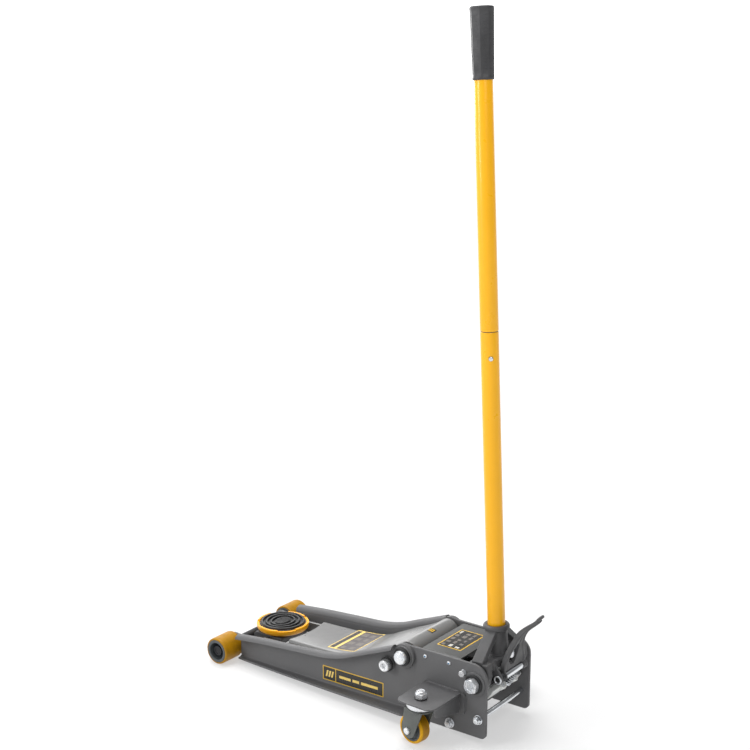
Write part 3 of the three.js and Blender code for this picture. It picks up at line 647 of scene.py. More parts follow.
def metal(name, base, rough=0.25, vary=0.06, tint=None, brushed=None, grain=0.15, aniso=0.0, metallic=1.0):
    t = Tree(name)
    big = t.noise(55, 4, 0.6)
    col = t.ramp(big, [(0.3, tuple(c * (1 - vary) for c in base[:3]) + (1,)), (0.7, tuple(min(1, c * (1 + vary)) for c in base[:3]) + (1,))])
    if tint:
        col = t.mix(t.span(t.noise(70, 3, 0.5), 0.45, 0.7, 0, 0.3), col, tint)
    t.link(col, t.bsdf.inputs["Base Color"])
    t.bsdf.inputs["Metallic"].default_value = metallic
    t.bsdf.inputs["Anisotropic"].default_value = aniso
    t.link(t.span(t.noise(150, 4, 0.65), 0.3, 0.7, max(0.03, rough - 0.05), rough + 0.07), t.bsdf.inputs["Roughness"])
    h = t.noise(700, 3, 0.6, stretch=brushed) if brushed else t.noise(500, 3, 0.6)
    t.bump(h, grain, 0.0004)
    return t.mat


def rubber(name, base, rough=0.6, grain=0.5, scale=700):
    t = Tree(name)
    col = t.ramp(t.noise(20, 4, 0.6), [(0.3, tuple(c * 0.75 for c in base[:3]) + (1,)), (0.7, tuple(c * 1.35 for c in base[:3]) + (1,))])
    t.link(col, t.bsdf.inputs["Base Color"])
    t.link(t.span(t.noise(50, 4, 0.6), 0.3, 0.7, rough - 0.1, rough + 0.12), t.bsdf.inputs["Roughness"])
    t.bump(t.noise(scale, 3, 0.6), grain, 0.0007)
    return t.mat


def tyre(name, base, dirt, rough=0.42):
    t = Tree(name)
    col = t.ramp(t.noise(26, 4, 0.6), [(0.3, tuple(c * 0.86 for c in base[:3]) + (1,)), (0.7, tuple(min(1, c * 1.1) for c in base[:3]) + (1,))])
    col = t.mix(t.span(t.noise(110, 5, 0.7), 0.5, 0.75, 0, 0.4), col, dirt)
    t.link(col, t.bsdf.inputs["Base Color"])
    t.link(t.span(t.noise(60, 4, 0.6), 0.3, 0.7, rough - 0.08, rough + 0.14), t.bsdf.inputs["Roughness"])
    t.bsdf.inputs["Specular IOR Level"].default_value = 0.25
    t.bump(t.noise(300, 4, 0.6), 0.2, 0.0006)
    return t.mat


FRAME = paint("frame_paint", rgb(96, 96, 97), rough=0.46, vary=0.06, grain=0.1, edge_wear_and_highlight=0.06, spec=0.3, coat=0.04, coat_rough=0.35, mottle=0.1)
ARM = paint("arm_paint", rgb(108, 108, 107), rough=0.33, vary=0.04, grain=0.04, edge_wear_and_highlight=0.05, coat=0.6, coat_rough=0.2, mottle=0.05)
COVER = paint("cover_paint", rgb(76, 77, 76), rough=0.42, vary=0.05, grain=0.1, edge_wear_and_highlight=0.2, spec=0.35, coat=0.06, coat_rough=0.3, mottle=0.1)
# bracket edges get the strongest mask: lighter convex edges, partly wear and partly painted highlight
BRACKET = paint("bracket_paint", rgb(82, 82, 83), rough=0.42, vary=0.07, grain=0.2, edge_wear_and_highlight=0.5, coat=0.1, coat_rough=0.3, mottle=0.15)
CAST = cast("cast_paint", rgb(74, 74, 75), rough=0.5, grain=0.4, edge_wear_and_highlight=0.3)
CAST_DARK = cast("cast_dark", rgb(40, 41, 43), rough=0.55, grain=0.4, edge_wear_and_highlight=0.2)
FORK = cast("fork_paint", rgb(92, 95, 92), rough=0.55, grain=0.12, edge_wear_and_highlight=0.25)
ZINC = metal("zinc", rgb(232, 233, 235), rough=0.28, vary=0.03, tint=rgb(196, 212, 226), grain=0.08, metallic=0.75)
ZINC_BLOCK = metal("zinc_block", rgb(240, 241, 238), rough=0.42, vary=0.04, tint=rgb(196, 206, 210), grain=0.2, metallic=0.2)
ZINC_BLUE = metal("zinc_blue", rgb(92, 140, 176), rough=0.25, grain=0.1)
STEEL = metal("steel", rgb(150, 152, 154), rough=0.32, grain=0.2)
DARK_STEEL = metal("dark_steel", rgb(70, 71, 73), rough=0.4, grain=0.2)
AXLE_BLACK = metal("axle_black", rgb(34, 34, 36), rough=0.55, grain=0.2, metallic=0.3)
CHROME = metal("chrome", rgb(226, 229, 232), rough=0.09, vary=0.03, grain=0.04)
YELLOW = paint("yellow_paint", rgb(250, 182, 3), rough=0.32, vary=0.03, grain=0.03, edge_wear_and_highlight=0.0, coat=0.25, coat_rough=0.1, mottle=0.05, grain_scale=300, spec=0.35)
SADDLE_YELLOW = paint("saddle_yellow", rgb(246, 172, 6), rough=0.36, vary=0.07, grain=0.16, edge_wear_and_highlight=0.12, edge=(0.3, 0.2, 0.05, 1))
TREAD = tyre("tread_polyurethane", rgb(168, 120, 1), rgb(110, 74, 4))
TREAD_EDGE = tyre("tread_edge", rgb(214, 158, 4), rgb(150, 104, 6))
RUBBER = rubber("rubber", rgb(30, 30, 31), rough=0.38, grain=0.25)
GRIP = rubber("grip_rubber", rgb(52, 52, 54), rough=0.5, grain=0.35, scale=500)
CORE = cast("wheel_core", rgb(72, 77, 79), rough=0.5, grain=0.2, edge_wear_and_highlight=0.2)
BLACK = paint("unit_paint", rgb(44, 45, 47), rough=0.35, vary=0.1, grain=0.2, edge_wear_and_highlight=0.2)
BLACK_RING = rubber("black_ring", rgb(24, 24, 25), rough=0.45, grain=0.2)
LABEL_YELLOW = paint("label_yellow", rgb(222, 178, 50), rough=0.35, vary=0.05, grain=0.04, edge_wear_and_highlight=0, grain_scale=400)
LABEL_DARK = paint("label_dark", rgb(38, 37, 34), rough=0.3, vary=0.12, grain=0.04, edge_wear_and_highlight=0, grain_scale=400)
LABEL_PALE = paint("label_pale", rgb(196, 194, 186), rough=0.4, vary=0.08, grain=0.04, edge_wear_and_highlight=0, grain_scale=400)
LABEL_GREY = paint("label_grey", rgb(112, 106, 100), rough=0.4, vary=0.1, grain=0.04, edge_wear_and_highlight=0, grain_scale=400)
LABEL_SLATE = paint("label_slate", rgb(84, 78, 78), rough=0.35, vary=0.12, grain=0.04, edge_wear_and_highlight=0, grain_scale=400)
LABEL_STRAW = paint("label_straw", rgb(236, 204, 110), rough=0.38, vary=0.05, grain=0.04, edge_wear_and_highlight=0, grain_scale=400)

M, FLOOR, H = from_chassis, from_floor, from_handle

# ----------------------------------------------------------------- side plates
web_outer = pchip([(-640, 99), (-560, 98), (-470, 97), (-373, 95.5), (-300, 93.5), (-222, 91), (-160, 87.8), (-110, 87), (0, 87)])
lip_top = pchip([(-640, 67), (-562, 75), (-470, 82), (-400, 87), (-373, 91), (-341, 99), (-295, 117), (-216, 148.5)])
rear_round = [(-32 + 32 * math.cos(rad(a)), 119 + 32 * math.sin(rad(a))) for a in range(90, -1, -5)]
web_top_f = pchip([(-640, 53.5), (-562, 61.5), (-470, 68.5), (-400, 73.5), (-373, 77.5), (-341, 85.5), (-295, 103.5), (-250, 121.5),
                   (-222, 133), (-217, 141), (-209, 148.6), (-196, 152), (-182, 151)])
web_top_r = linear([(-182, 151)] + rear_round)
bottom_round = [(-12 + 12 * math.sin(rad(a)), 8.5 - 12 * math.cos(rad(a))) for a in range(0, 91, 5)]
web_bot = linear([(-640, 13), (-186, 13), (-180, 12.2), (-153, -2.9), (-148, -3.5)] + bottom_round)


def web_top(x):
    return web_top_f(x) if x < -182 else web_top_r(x)


reach = pchip([(-640, 10), (-604, 13), (-425, 21), (-300, 26), (-210, 30), (-184, 32), (-166, 14)])
ARMP = (-196.0, 127.0)
ANCHOR = (-235.0, 100.0)


def side_plate(side):
    xs = set(np.arange(-640, -230, 8).tolist()) | set(np.arange(-230, -148, 2).tolist()) | set(np.arange(-148, -34, 8).tolist())
    xs |= {p[0] for p in rear_round} | {p[0] for p in bottom_round} | {-640, -222, -196, -182, -32, -12, -0.9}
    xs = sorted(x for x in xs if -639.2 < x < -0.8)
    b = 0.9
    loops = []

    def station(x, z0, z1, ins):
        y1 = web_outer(x) - ins
        y0 = web_outer(x) - 6 + ins
        z0, z1 = z0 + ins, z1 - ins
        lower_in = [(y0 + b * (1 - math.cos(t)), z0 + b * (1 - math.sin(t))) for t in np.linspace(0, PI / 2, 4)]
        lower_out = [(y1 - b * (1 - math.cos(t)), z0 + b * (1 - math.sin(t))) for t in np.linspace(PI / 2, 0, 4)]
        upper_out = [(y1 - b * (1 - math.cos(t)), z1 - b * (1 - math.sin(t))) for t in np.linspace(0, PI / 2, 4)]
        upper_in = [(y0 + b * (1 - math.cos(t)), z1 - b * (1 - math.sin(t))) for t in np.linspace(PI / 2, 0, 4)]
        ring = lower_in + lower_out + upper_out + upper_in
        loops.append([(x, side * y, z) for y, z in ring])
    station(-640, web_bot(-640), web_top(-640), 0.8)
    station(-639.2, web_bot(-639), web_top(-639), 0)
    for x in xs:
        station(x, web_bot(x), web_top(x), 0)
    station(-0.8, web_bot(-0.8) + 0.2, web_top(-0.8) - 0.2, 0)
    station(0, 8.7, 118.6, 0.8)
    web = sweep(loops)

    # rolled lip
    line = [(-3, -7), (-3, -3)] + [(8 + 11 * math.cos(rad(a)), 11 * math.sin(rad(a))) for a in range(180, 19, -8)]
    sec = rounded(strip(line, 5), [2.2 if i in (0, len(line) - 1, len(line), 2 * len(line) - 1) else 0 for i in range(2 * len(line))], seg=4)
    cen = np.mean(np.array(sec), 0)
    lip_x = [-640, -639.5, -638.4, -636] + list(np.arange(-630, -216, 6)) + [-218.4, -216.6, -216]
    scale = {-640: 0.84, -639.5: 0.93, -638.4: 0.98, -216.6: 0.97, -216: 0.88}
    loops = []
    mid = np.array(strip(line, 0.001))
    for x in lip_x:
        k = scale.get(x, 1.0)
        s = rounded(strip(line, 5 * k), [2.2 * k if i in (0, len(line) - 1, len(line), 2 * len(line) - 1) else 0 for i in range(2 * len(line))], seg=4)
        z = lip_top(x) - 13.5
        loops.append([(x, side * (web_outer(x) + p), z + q) for p, q in s])
    lip = sweep(loops)

    # bottom flange turned outward
    fl = [(-3, 16), (-3, 9), (-2.4, 5.4), (-0.6, 2.4), (2.2, 0.6), (6, 0), (25, 0)]
    fx = [-640, -639.3, -638] + list(np.arange(-632, -190, 7)) + [-186, -184, -182.5, -180, -176, -172, -168, -166.4, -165.6]
    fsc = {-640: 0.75, -639.3: 0.92, -165.6: 0.8}
    reach_c = pchip([(-640, 10), (-604, 13), (-425, 21), (-300, 26), (-210, 30), (-187, 32), (-181.5, 29.5), (-170, 17), (-166, 11)])
    loops = []
    for x in fx:
        k = fsc.get(x, 1.0)
        r = max(7.0, reach_c(x) - 25 + 25)
        ln = [q for q in fl[:-1]] + [(r, 0)]
        s = rounded(strip(ln, 5 * k), [2.2 * k if i in (len(ln) - 1, len(ln)) else 0 for i in range(2 * len(ln))], seg=4)
        loops.append([(x, side * (web_outer(x) + p), 9.5 + q) for p, q in s])
    flange = sweep(loops)

    tongue = prism(hull([(-672, 30, 23.5), (-600, 12, 0), (-600, 50, 0)], 64), side * 78, side * 84, "xz", 1.0)
    spacer = block(-636, -604, side * 83 if side > 0 else -95.5, 95.5 if side > 0 else -83, 18, 48, 0.5)

    def boss(prof, x, z):
        return turned(prof, (x, 0, z), (0, side, 0), 72, 0.9)
    b1 = boss([(0, 84), (26, 84), (26, 93.6), (24.8, 95), (22.2, 95), (21.6, 97.4), (0, 97.4)], *ARMP)
    b2 = boss([(0, 84), (16, 84), (16, 96), (0, 96)], *ANCHOR)
    b3 = boss([(0, 82), (25, 82), (25, 89.5), (0, 89.5)], *HP)

    def hole(r, x, z):
        return ybar(r, side * 60, side * 140, x, z, 48)
    me = csg(web, [("+", lip), ("+", flange), ("+", tongue), ("+", spacer), ("+", b1), ("+", b2), ("+", b3),
                   ("-", hole(14.9, *ARMP)), ("-", hole(10.8, *ANCHOR)), ("-", hole(10.3, *HP)), ("-", hole(5.8, -18, 36)),
                   ("-", hole(6.3, -85, 10)), ("-", hole(11.2, -672, 30))])
    return me


for tag, side in (("left", -1), ("right", 1)):
    piece(f"plate_{tag}", side_plate(side), M, "chassis", FRAME, [f"side_plate_{tag}"], 34)

# ------------------------------------------------------------------ rear cover
sec = rounded([(-80, 128), (80, 128), (80, 150), (-80, 150)], [0, 0, 4, 4], seg=6)
outer = rounded([(-80, 128), (-80, 150), (80, 150), (80, 128)], [0, 4.2, 4.2, 0], seg=6)
inner = rounded([(77, 128), (77, 147), (-77, 147), (-77, 128)], [0, 1.4, 1.4, 0], seg=6)
piece("cover_sheet", prism(outer + inner, -160, -67, "yz", 0.5), M, "chassis", COVER, ["rear_cover"], 30)


def screw(name, x, z, side, replaces=()):
    w = web_outer(x)
    head = turned([(0, 74), (2.2, 74), (2.2, w + 0.2), (4.3, w + 0.2), (4.3, w + 1.3), (3.2, w + 2.6), (2.2, w + 2.8), (0, w + 2.8)], (x, 0, z), (0, side, 0), 40, 0.4)
    rec = turned([(0, w + 1.2), (2.3, w + 1.2), (2.3, w + 4), (0, w + 4)], (x, 0, z), (0, side, 0), 32, 0)
    piece(name, csg(head, [("-", rec)]), M, "chassis", ZINC, replaces, 30)
    piece(name + "_core", prism(hexagon(3.6, x, z, 0.4), side * (w + 0.9), side * (w + 2.0), "xz", 0.2), M, "chassis", ZINC_BLUE)


for side, tag in ((-1, "left"), (1, "right")):
    screw(f"screw_{tag}_a", -146, 138, side, ["cover_screw_left_front"] if side < 0 else ())
    screw(f"screw_{tag}_b", -89, 138, side, ["cover_screw_left_rear"] if side < 0 else ())

# ---------------------------------------------------------- pins, rods and bolts
piece("pivot_pin", turned([(0, -110), (12.2, -110), (14.5, -107.6), (14.5, 107.6), (12.2, 110), (0, 110)], (ARMP[0], 0, ARMP[1]), (0, 1, 0), 96, 0.6),
      M, "chassis", ZINC, ["main_pivot_pin"])
for side, tag in ((-1, "left"), (1, "right")):
    piece(f"pivot_ring_{tag}", turned([(14.6, 97), (19.2, 97), (19.2, 101.2), (17.6, 102.6), (14.6, 102.6)], (ARMP[0], 0, ARMP[1]), (0, side, 0), 72, 0.5),
          M, "chassis", BLACK_RING)
    piece(f"pivot_face_{tag}", turned([(0, 109.6), (9.6, 109.6), (9.6, 110.5), (9.0, 110.8), (0, 110.8)], (ARMP[0], 0, ARMP[1]), (0, side, 0), 64, 0.3),
          M, "chassis", ZINC)
    x, z = ANCHOR
    piece(f"anchor_bolt_{tag}", turned([(0, 49), (10.5, 49), (10.5, 98), (12.5, 98.6), (12.5, 109.3), (10.8, 111), (7.6, 111), (7.0, 109.6), (5.6, 109.2), (5.6, 104), (0, 103.6)],
                                       (x, 0, z), (0, side, 0), 72, 0.5), M, "chassis", ZINC, [f"link_bolt_{tag}"])
    piece(f"anchor_ring_{tag}", turned([(12.7, 96.2), (15.4, 96.2), (15.4, 99.4), (14.6, 100), (12.7, 100)], (x, 0, z), (0, side, 0), 64, 0.4),
          M, "chassis", BLACK_RING)


def hex_solid(af, x, z, y0, y1, turn, chamfer_out=True):
    """Hexagon along Y with turned-off corners at both ends."""
    r = af / math.sqrt(3)
    lo, hi = min(y0, y1), max(y0, y1)
    k = (r - af / 2) * 0.9
    cone = turned([(0, lo), (af / 2 - 0.1, lo), (r + 0.4, lo + k), (r + 0.4, hi - k), (af / 2 - 0.1, hi), (0, hi)], (x, 0, z), (0, 1, 0), 72, 0)
    return csg(prism(hexagon(af, x, z, turn), lo - 1, hi + 1, "xz", 0), [("&", cone)])


def tie(name, x, z, r, af, node, slot_mat):
    rod = ybar(r, -98, 98, x, z, 48, 0.8)
    me = csg(rod, [("+", hex_solid(af, x, z, -94, -87.9, 0.2)), ("+", hex_solid(af, x, z, 87.9, 94, 0.2)),
                   ("+", turned([(0, 87.0), (af * 0.66, 87.0), (af * 0.66, 88.2), (0, 88.2)], (x, 0, z), (0, 1, 0), 64, 0.2)),
                   ("+", turned([(0, 87.0), (af * 0.66, 87.0), (af * 0.66, 88.2), (0, 88.2)], (x, 0, z), (0, -1, 0), 64, 0.2))])
    piece(name, me, M, "chassis", slot_mat, [node], 28)


tie("tie_rod", -18, 36, 5.5, 15, "lower_tie_rod", CHROME)
tie("spacer_rod", -85, 10, 6, 16, "lower_spacer_bar", ZINC)

# small stop bolts above the socket pivots
for side, tag in ((-1, "left"), (1, "right")):
    x, z = -54, 127
    me = csg(turned([(0, 74), (4, 74), (4, 86.5), (6.6, 87.1), (6.6, 88.2), (0, 88.2)], (x, 0, z), (0, side, 0), 48, 0.2),
             [("+", hex_solid(12, x, z, side * 88.0, side * 96.5, 0.25))])
    piece(f"stop_bolt_{tag}", me, M, "chassis", ZINC, (), 28)

# ------------------------------------------------------- front axle and rollers
piece("axle_bar", turned([(0, -141), (7, -141), (8, -140), (8, -88.6), (11, -88.6), (11, 88.6), (8, 88.6), (8, 140), (7, 141), (0, 141)], (-672, 0, 30), (0, 1, 0), 64, 0.3),
      M, "chassis", AXLE_BLACK, ["front_axle"])
for side, tag in ((-1, "left"), (1, "right")):
    a, b = 89.5, 146
    core = turned([(8.4, a), (25.6, a), (25.6, b - 0.4), (24.9, b), (20.4, b), (19.4, b - 1), (18.4, b - 30), (12.2, b - 33), (12.0, b - 30), (8.4, b - 30)], (-672, 0, 30), (0, side, 0), 96, 0.5)
    piece(f"roller_core_{tag}", core, FLOOR, f"front_wheel_{tag}", CORE, [f"front_wheel_{tag}"])
    tread = turned([(25.8, a + 0.5), (28.2, a + 0.5), (29.6, a + 1.6), (30, a + 3.4), (30, b - 4.4), (29.5, b - 2.2), (28.2, b - 0.9), (25.8, b - 0.6)], (-672, 0, 30), (0, side, 0), 128, 0.5)
    piece(f"roller_tread_{tag}", tread, FLOOR, f"front_wheel_{tag}", TREAD, [f"front_tread_{tag}"])
    clip = turned([(8.3, b - 6.2), (10.6, b - 6.2), (10.6, b - 4.8), (8.3, b - 4.8)], (-672, 0, 30), (0, side, 0), 48, 0.2)
    piece(f"roller_clip_{tag}", clip, FLOOR, "chassis", DARK_STEEL)

# -------------------------------------------------------------------- lift arm
arm_top = pchip([(-534, 67), (-440, 70), (-390, 73.5), (-362, 77.5), (-340, 84), (-320, 93.5), (-213, 144.5), (-204, 150.4), (-196, 152)])
arm_foot = pchip([(-534, 26), (-440, 28), (-390, 36), (-350, 50), (-300, 80), (-262, 113), (-222, 116), (-196, 118)])
arm_half = pchip([(-534, 66), (-440, 67.5), (-380, 69.5), (-340, 73.5), (-213, 76), (-196, 76)])


def arm_section(x, ins=0.0):
    h, t, f = arm_half(x), arm_top(x), arm_foot(x)
    ro = min(9.0, (t - f) * 0.3)
    o = [(-h, f)] + [(-h + ro * (1 - math.cos(a)), t - ro * (1 - math.sin(a))) for a in np.linspace(0, PI / 2, 9)]
    o += [(h - ro * (1 - math.sin(a)), t - ro * (1 - math.cos(a))) for a in np.linspace(0, PI / 2, 9)] + [(h, f)]
    hi, ti, ri = h - 5, t - 4, max(1.5, ro - 4.5)
    i = [(hi, f)] + [(hi - ri * (1 - math.cos(a)), ti - ri * (1 - math.sin(a))) for a in np.linspace(0, PI / 2, 9)]
    i += [(-hi + ri * (1 - math.sin(a)), ti - ri * (1 - math.cos(a))) for a in np.linspace(0, PI / 2, 9)] + [(-hi, f)]
    return o + i


xs = sorted(set(np.arange(-534, -380, 6).tolist()) | set(np.arange(-380, -196, 3).tolist()) | {-196})
shell = sweep([[(x, y, z) for y, z in arm_section(x)] for x in xs])
edge = [(-519 - 9 * (y / 60) ** 2, y) for y in np.linspace(-60, 60, 41)]
corner_a = smooth_line([(-528, -60), (-528.6, -63.4), (-526, -66.4), (-519, -68.6), (-508, -71)], 0.8)
outline = [(-700, -100), (-490, -100), (-490, -80), (-500, -76)] + corner_a[::-1] + edge[1:-1] + [(x, -y) for x, y in corner_a] + [(-500, 76), (-490, 80), (-490, 100), (-700, 100)]
front_cut = prism(outline, 58, 200, "xy", 0)
barrel = turned([(0, -76), (25, -76), (25, 76), (0, 76)], (ARMP[0], 0, ARMP[1]), (0, 1, 0), 128, 0.8)
lug_end = (-171.16, 89.48)
LEVER = math.radians(33.5)
lug = prism(hull([(ARMP[0], ARMP[1], 16), (lug_end[0], lug_end[1], 11)], 64), -8, 8, "xz", 0.8)
prongs = [prism(hull([(-600, 42, 11), (-500, 26, 0), (-500, 58, 0)], 48), s * 61.5, s * 69, "xz", 0.8) for s in (-1, 1)]
me = csg(shell, [("-", front_cut), ("-", ybar(14, -90, 90, ANCHOR[0], ANCHOR[1] - 2)), ("+", barrel), ("+", prongs[0]), ("+", prongs[1]), ("+", lug),
                 ("-", ybar(14.9, -90, 90, *ARMP)), ("-", ybar(6.8, -90, 90, -600, 42)), ("-", ybar(7.3, -20, 20, *lug_end))])
piece("arm_channel", me, M, "arm", ARM, ["lift_arm"], 36)
piece("lever_pin", turned([(0, -21), (6.2, -21), (7, -20.2), (7, 20.2), (6.2, 21), (0, 21)], (lug_end[0], 0, lug_end[1]), (0, 1, 0), 48, 0.2), M, "arm", STEEL, ["ram_lever_pin"])

# levelling links
for side, tag in ((-1, "left"), (1, "right")):
    b = (-639, 15)
    y0 = side * 54 - 4
    line = smooth_line([ANCHOR, (-300, 78), (-362, 60), (-430, 51), b], 8)
    me = csg(prism(strip(line, 9), y0 + 0.5, y0 + 7.5, "xz", 0.8), [("+", ybar(14.5, y0, y0 + 8, *ANCHOR, 48, 0.6)), ("+", ybar(7.5, y0, y0 + 8, *b, 40, 0.6)),
                                                               ("-", ybar(10.9, y0 - 1, y0 + 9, *ANCHOR)), ("-", ybar(4.3, y0 - 1, y0 + 9, *b))])
    piece(f"link_bar_{tag}", me, M, f"link_{tag}", DARK_STEEL, [f"level_link_{tag}"])

# yoke, yoke pin, saddle
yo = rounded([(-647, 12), (-643.5, 8.4), (-634, 8.4), (-588, 26), (-566, 38), (-563, 53.5), (-641, 53.5), (-647, 46)], 3)
me = cast_mesh([prism(yo, -48, 48, "xz", 2.0), ybar(3.6, -57.6, -46, -639, 15, 32), ybar(3.6, 46, 57.6, -639, 15, 32)],
               [ybar(6.9, -60, 60, -600, 42), bar(14, (-600, 0, 50.1), (-600, 0, 60), 48), block(-632, -612, -34, 34, -5, 44, 0, 2)], 1.2, 4)
piece("yoke_casting", me, M, "yoke", CAST, ["saddle_yoke"], 180)
piece("yoke_pin", turned([(0, -74), (5.6, -74), (6.5, -73), (6.5, 73), (5.6, 74), (0, 74)], (-600, 0, 42), (0, 1, 0), 48, 0.2), M, "arm", STEEL, ["saddle_yoke_pin"])

cup = turned([(0, 50.4), (13.5, 50.4), (13.5, 54), (47, 54), (55, 57.6), (58.6, 61.5), (59.5, 65), (59.5, 70.8), (58.4, 72), (54.6, 72), (53.6, 71), (53.5, 60), (0, 60)], (-600, 0, 0), (0, 0, 1), 128, 0.9)
cuts = []
for k in range(4):
    a0 = rad(-62 + 90 * k)
    a1 = a0 + rad(42)
    wedge = [(-600 + 48 * math.cos(a0 + (a1 - a0) * i / 12), 48 * math.sin(a0 + (a1 - a0) * i / 12)) for i in range(13)]
    wedge += [(-600 + 66 * math.cos(a1 - (a1 - a0) * i / 12), 66 * math.sin(a1 - (a1 - a0) * i / 12)) for i in range(13)]
    cuts.append(("-", prism(wedge, 69.4, 80, "xy", 0)))
piece("cup_casting", csg(cup, cuts), M, "saddle", SADDLE_YELLOW, ["saddle_cup"], 40)

pad = turned([(0, 60.3), (53, 60.3), (53, 69.6), (51.6, 70.8), (0, 70.8)], (-600, 0, 0), (0, 0, 1), 128, 0.9)


def oval_ring(ax, ay, w, h, z0=70.0, n=96):
    loops = []
    for i in range(n):
        t = 2 * PI * i / n
        c = np.array([ax * math.cos(t), ay * math.sin(t)])
        nrm = np.array([math.cos(t) / ax, math.sin(t) / ay])
        nrm /= np.linalg.norm(nrm)
        sec = [(-w / 2, 0), (w / 2, 0), (w / 2, h * 0.55), (w / 2 - w * 0.2, h), (-w / 2 + w * 0.2, h), (-w / 2, h * 0.55)]
        loops.append([(-600 + c[0] + nrm[0] * u, c[1] + nrm[1] * u, z0 + v) for u, v in sec])
    loops.append(loops[0])
    return rings(loops, False, False)


for ring in (oval_ring(47.4, 47.4, 5.6, 4.6), oval_ring(35.8, 38.8, 5.4, 5.0), oval_ring(24.6, 29.0, 4.8, 5.0)):
    pad.add(ring)
slab = prism([(-600 + 15.5 * math.cos(t), 20.5 * math.sin(t)) for t in np.linspace(0, 2 * PI, 65)[:-1]], 70.0, 74.4, "xy", 0.8)
pad.add(slab)
for k in range(-3, 4):
    half = 19.0 * math.sqrt(max(0.05, 1 - (k * 3.9 / 15.5) ** 2))
    pad.add(prism(rounded([(-600 + k * 3.9 - 1.0, -half), (-600 + k * 3.9 + 1.0, -half), (-600 + k * 3.9 + 1.0, half), (-600 + k * 3.9 - 1.0, half)], 0.7), 74.0, 75.0, "xy", 0.3))
piece("pad_moulding", pad, M, "saddle", RUBBER, ["saddle_pad"], 30)

# ---------------------------------------------------------------- hydraulic unit


def plunger_at(s):
    return (-5.44 - 0.6 * s, 25.0, 93.08 - 0.8 * s)


prof = rounded([(-62, 40), (-42, 40), (-31, 56), (-31, 88), (-44, 88), (-44, 112), (-62, 112)], [2, 3, 2, 2, 3, 2, 2])
body = prism(prof, -57, 57, "xz", 1.2)
items = []
for s in (-1, 1):
    items.append(("+", block(-62, -42, *sorted((s * 50, s * 80.6)), 55, 84, 0.8)))
    items.append(("-", block(-66, -38, *sorted((s * 45, s * 62)), 88.6, 125, 0, 0)))
bores = [("-", bar(6.4, (-28, 0, 70), (-28, 0, 98), 48)), ("-", bar(9.6, plunger_at(-20), plunger_at(13.2), 48)), ("-", bar(8.6, plunger_at(-20), plunger_at(26), 48)), ("-", bar(4.9, plunger_at(20), plunger_at(53), 32))]
piece("unit_block", csg(body, items + bores), M, "chassis", CAST_DARK, ["hydraulic_block"], 32)
nose = prism(rounded([(-34, 56), (-29, 56), (-15.6, 76), (-24, 81.5), (-34, 81.5)], [1, 3.5, 3, 2, 1], seg=5), -34, 78, "xz", 2.2)
items = []
for y in (5, 50):
    c = (-16.6, y, 79.2)
    items.append(("+", turned([(0, 0), (8.8, 0), (10.0, 1.2), (10.0, 12), (0, 12)], c, (-0.78, 0, -0.62), 72, 0.3)))
    items.append(("-", turned([(0, -1), (6.4, -1), (5.8, 1.8), (0, 1.8)], c, (-0.78, 0, -0.62), 48, 0)))
    piece(f"unit_plug_{y}", csg(turned([(0, 0.6), (4.6, 0.6), (5.0, 1.1), (5.0, 4), (0, 4)], c, (-0.78, 0, -0.62), 48, 0.2), [("-", turned([(0, 0), (2.6, 0), (2.2, 2.4), (0, 2.4)], c, (-0.78, 0, -0.62), 6, 0))]), M, "chassis", ZINC)
piece("unit_nose", csg(nose, items + bores), M, "chassis", ZINC_BLOCK, (), 32)
# gland ring round the plunger and a filler screw on the block
piece("unit_gland", turned([(5.2, 20.5), (8.4, 20.5), (8.4, 25.2), (5.2, 25.2)], plunger_at(0), (-0.6, 0, -0.8), 48, 0.4), M, "chassis", ZINC)
piece("unit_filler", csg(turned([(0, 111.6), (6.5, 111.6), (6.5, 114.4), (5.6, 115), (0, 115)], (-53, -26, 0), (0, 0, 1), 48, 0.4),
                         [("-", prism([(-57, -26.7), (-49, -26.7), (-49, -25.3), (-57, -25.3)], 114, 117, "xy", 0))]), M, "chassis", DARK_STEEL)
piece("cylinder_tube", turned([(15, -126), (15, -62.3), (21, -62.3), (21, -134.6), (19.8, -136), (11.4, -136), (11.4, -126)], (0, 0, 86), (1, 0, 0), 72, 0.3), M, "chassis", STEEL, ["ram_cylinder"])
piece("reservoir_shell", turned([(26, -62.3), (30, -62.3), (30, -125), (27, -128), (21.4, -128), (21.4, -124), (26, -124)], (0, 0, 86), (1, 0, 0), 72, 0.8), M, "chassis", BLACK, ["reservoir_tube"])
rod = turned([(0, -148), (11, -148), (11, -75), (14.7, -75), (14.7, -66), (0, -66)], (0, 0, 86), (1, 0, 0), 64, 0.2)
slot_x = -171.16
me = csg(rod, [("+", block(-154, -146, -42, 42, 77, 93, 0.8, 1.5)), ("+", block(-155, -150, -19, 19, 72, 98, 0.5)),
               ("+", block(-185, -153, -19, -10, 70, 100, 1.0, 2)), ("+", block(-185, -153, 10, 19, 70, 100, 1.0, 2)),
               ("-", block(slot_x - 8.2, slot_x + 8.2, -30, 30, 74.2, 97.2, 0, 5)), ("-", block(-160, -147.5, -8.8, 8.8, 83.5, 120, 0, 1))])
piece("ram_rod", me, M, "ram", CHROME, ["ram"], 32)
for side, tag in ((-1, "left"), (1, "right")):
    o = piece(f"spring_{tag}", helix((-145.6, side * 37, 85), (-62.4, side * 37, 85), 4.2, 0.85, 24), M, "chassis", DARK_STEEL, [f"return_spring_{tag}"], 60, ride=False)
    p = from_chassis(np.array([[-62.4, side * 37, 85], [-145.6, side * 37, 85]], float))
    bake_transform(o)
piece("plunger", turned([(0, -14.9), (8.2, -14.9), (9, -14.1), (9, -11.7), (8.2, -10.9), (4.5, -10.9), (4.5, 28), (0, 28)], plunger_at(0), (-0.6, 0, -0.8), 56, 0.4), M, "pump", STEEL, ["pump_plunger"])
o = piece("plunger_spring", helix(plunger_at(-10.6), plunger_at(25.7), 6.75, 1.0, 5.5, n=10, per=28), M, "chassis", ZINC, ["pump_spring"], 60, ride=False)
p = from_chassis(np.array([plunger_at(25.7), plunger_at(-10.6)], float))
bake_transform(o)
